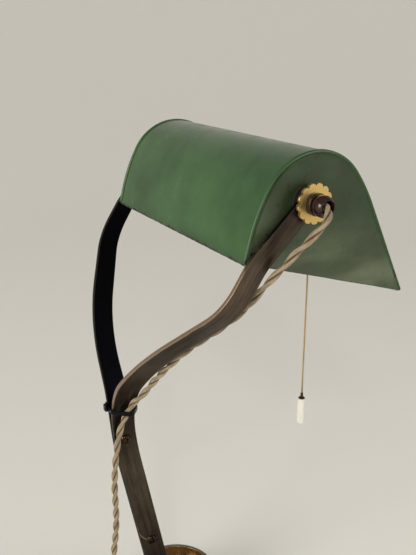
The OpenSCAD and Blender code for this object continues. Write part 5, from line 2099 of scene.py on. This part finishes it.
@dataclass
class Studio:
    """Camera, floor and lights: a soft key from the camera's left, a spark for glints, a fill and a cool crown."""

    eye: tuple[float, float, float] = (-0.5135, 0.2456, 0.5521)
    heading: float = -28.84
    pitch: float = -18.76
    focal_px: float = 705.0
    picture_h: float = 555.0
    sensor: float = 36.0
    floor: Backdrop = Backdrop("floor", (0.66, 0.64, 0.59), 0.27)
    floor_r: float = 1500.0
    floor_z: float = -0.4
    cove_r: float = 2500.0
    wall_z: float = 3600.0
    aim: tuple[float, float, float] = (0.0, -0.05, 0.35)
    lamps: tuple[Lamp, ...] = (
        Lamp("key", (-0.8, 2.67, 1.25), 1.28, 54, (1.0, 0.97, 0.92)),
        Lamp("spark", (-1.2, 0.8, 1.35), 0.14, 3.5, (1.0, 0.98, 0.95)),
        Lamp("fill", (-1.3, -0.9, 0.8), 0.7, 8, (1.0, 0.98, 0.95)),
        Lamp("crown", (1.5, -0.9, 1.4), 1.6, 0.4, (0.80, 0.90, 1.0)),
    )
    sky: Colour = (0.84, 0.85, 0.86)
    sky_power: float = 0.3

    def camera(self) -> None:
        """Set the camera where the photograph was taken from."""
        data = bpy.data.cameras.new("view")
        data.sensor_fit = "VERTICAL"
        data.sensor_height = self.sensor
        data.lens = self.focal_px / self.picture_h * self.sensor
        thing = placed("view", data)
        yaw, dip = math.radians(self.heading), math.radians(self.pitch)
        way = Vector((math.cos(dip) * math.cos(yaw), math.cos(dip) * math.sin(yaw), math.sin(dip)))
        thing.rotation_euler = facing(way)
        thing.location = self.eye
        bpy.context.scene.camera = thing

    def ground(self) -> None:
        """A pale round floor that sweeps up into a wall: its profile is flat, a quarter circle, then upright."""
        profile = np.concatenate([
            [[0, 0], [self.floor_r / 4, 0]], arc((self.floor_r, self.cove_r), self.cove_r, -90, 0, 16),
            [[self.floor_r + self.cove_r, self.wall_z]],
        ])
        bowl = lathe(profile, (0, 0, self.floor_z), Axis.UP, 96).flipped()
        mesh = replace(bowl, caps=bowl.caps[:1]).mesh("floor")
        mesh.materials.append(self.floor.material())
        placed("floor", mesh)

    def light(self) -> None:
        """Add the lamps and a dim sky."""
        for lamp in self.lamps:
            lamp.make(self.aim)
        world = bpy.data.worlds.new("sky")
        world.use_nodes = True
        background = world.node_tree.nodes["Background"]
        background.inputs["Color"].default_value = (*self.sky, 1)
        background.inputs["Strength"].default_value = self.sky_power
        bpy.context.scene.world = world
        bpy.context.scene.view_settings.view_transform = "Standard"

    def make(self) -> None:
        """Set up the whole studio."""
        self.camera()
        self.ground()
        self.light()


def main() -> None:
    """Load the frame, set up the studio, build every sub-assembly in order, and dress the CAD nodes."""
    logging.basicConfig(level=logging.INFO, format="%(name)s %(message)s")
    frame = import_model()
    tilt = next(j for j in frame["joints"] if j["name"] == "shade_tilt")
    pivot = Pivot(tilt["pos_m"][1] / MM, tilt["pos_m"][2] / MM)
    maker = Maker(frame)
    Studio().make()
    Flex().make(maker)
    Pull().make(maker)
    Base().make(maker)
    Fork(pivot).make(maker)
    StemTie().make(maker)
    Shade(pivot).make(maker)
    PivotPieces(pivot).make(maker)
    maker.dress_nodes()


if __name__ == "__main__":
    main()
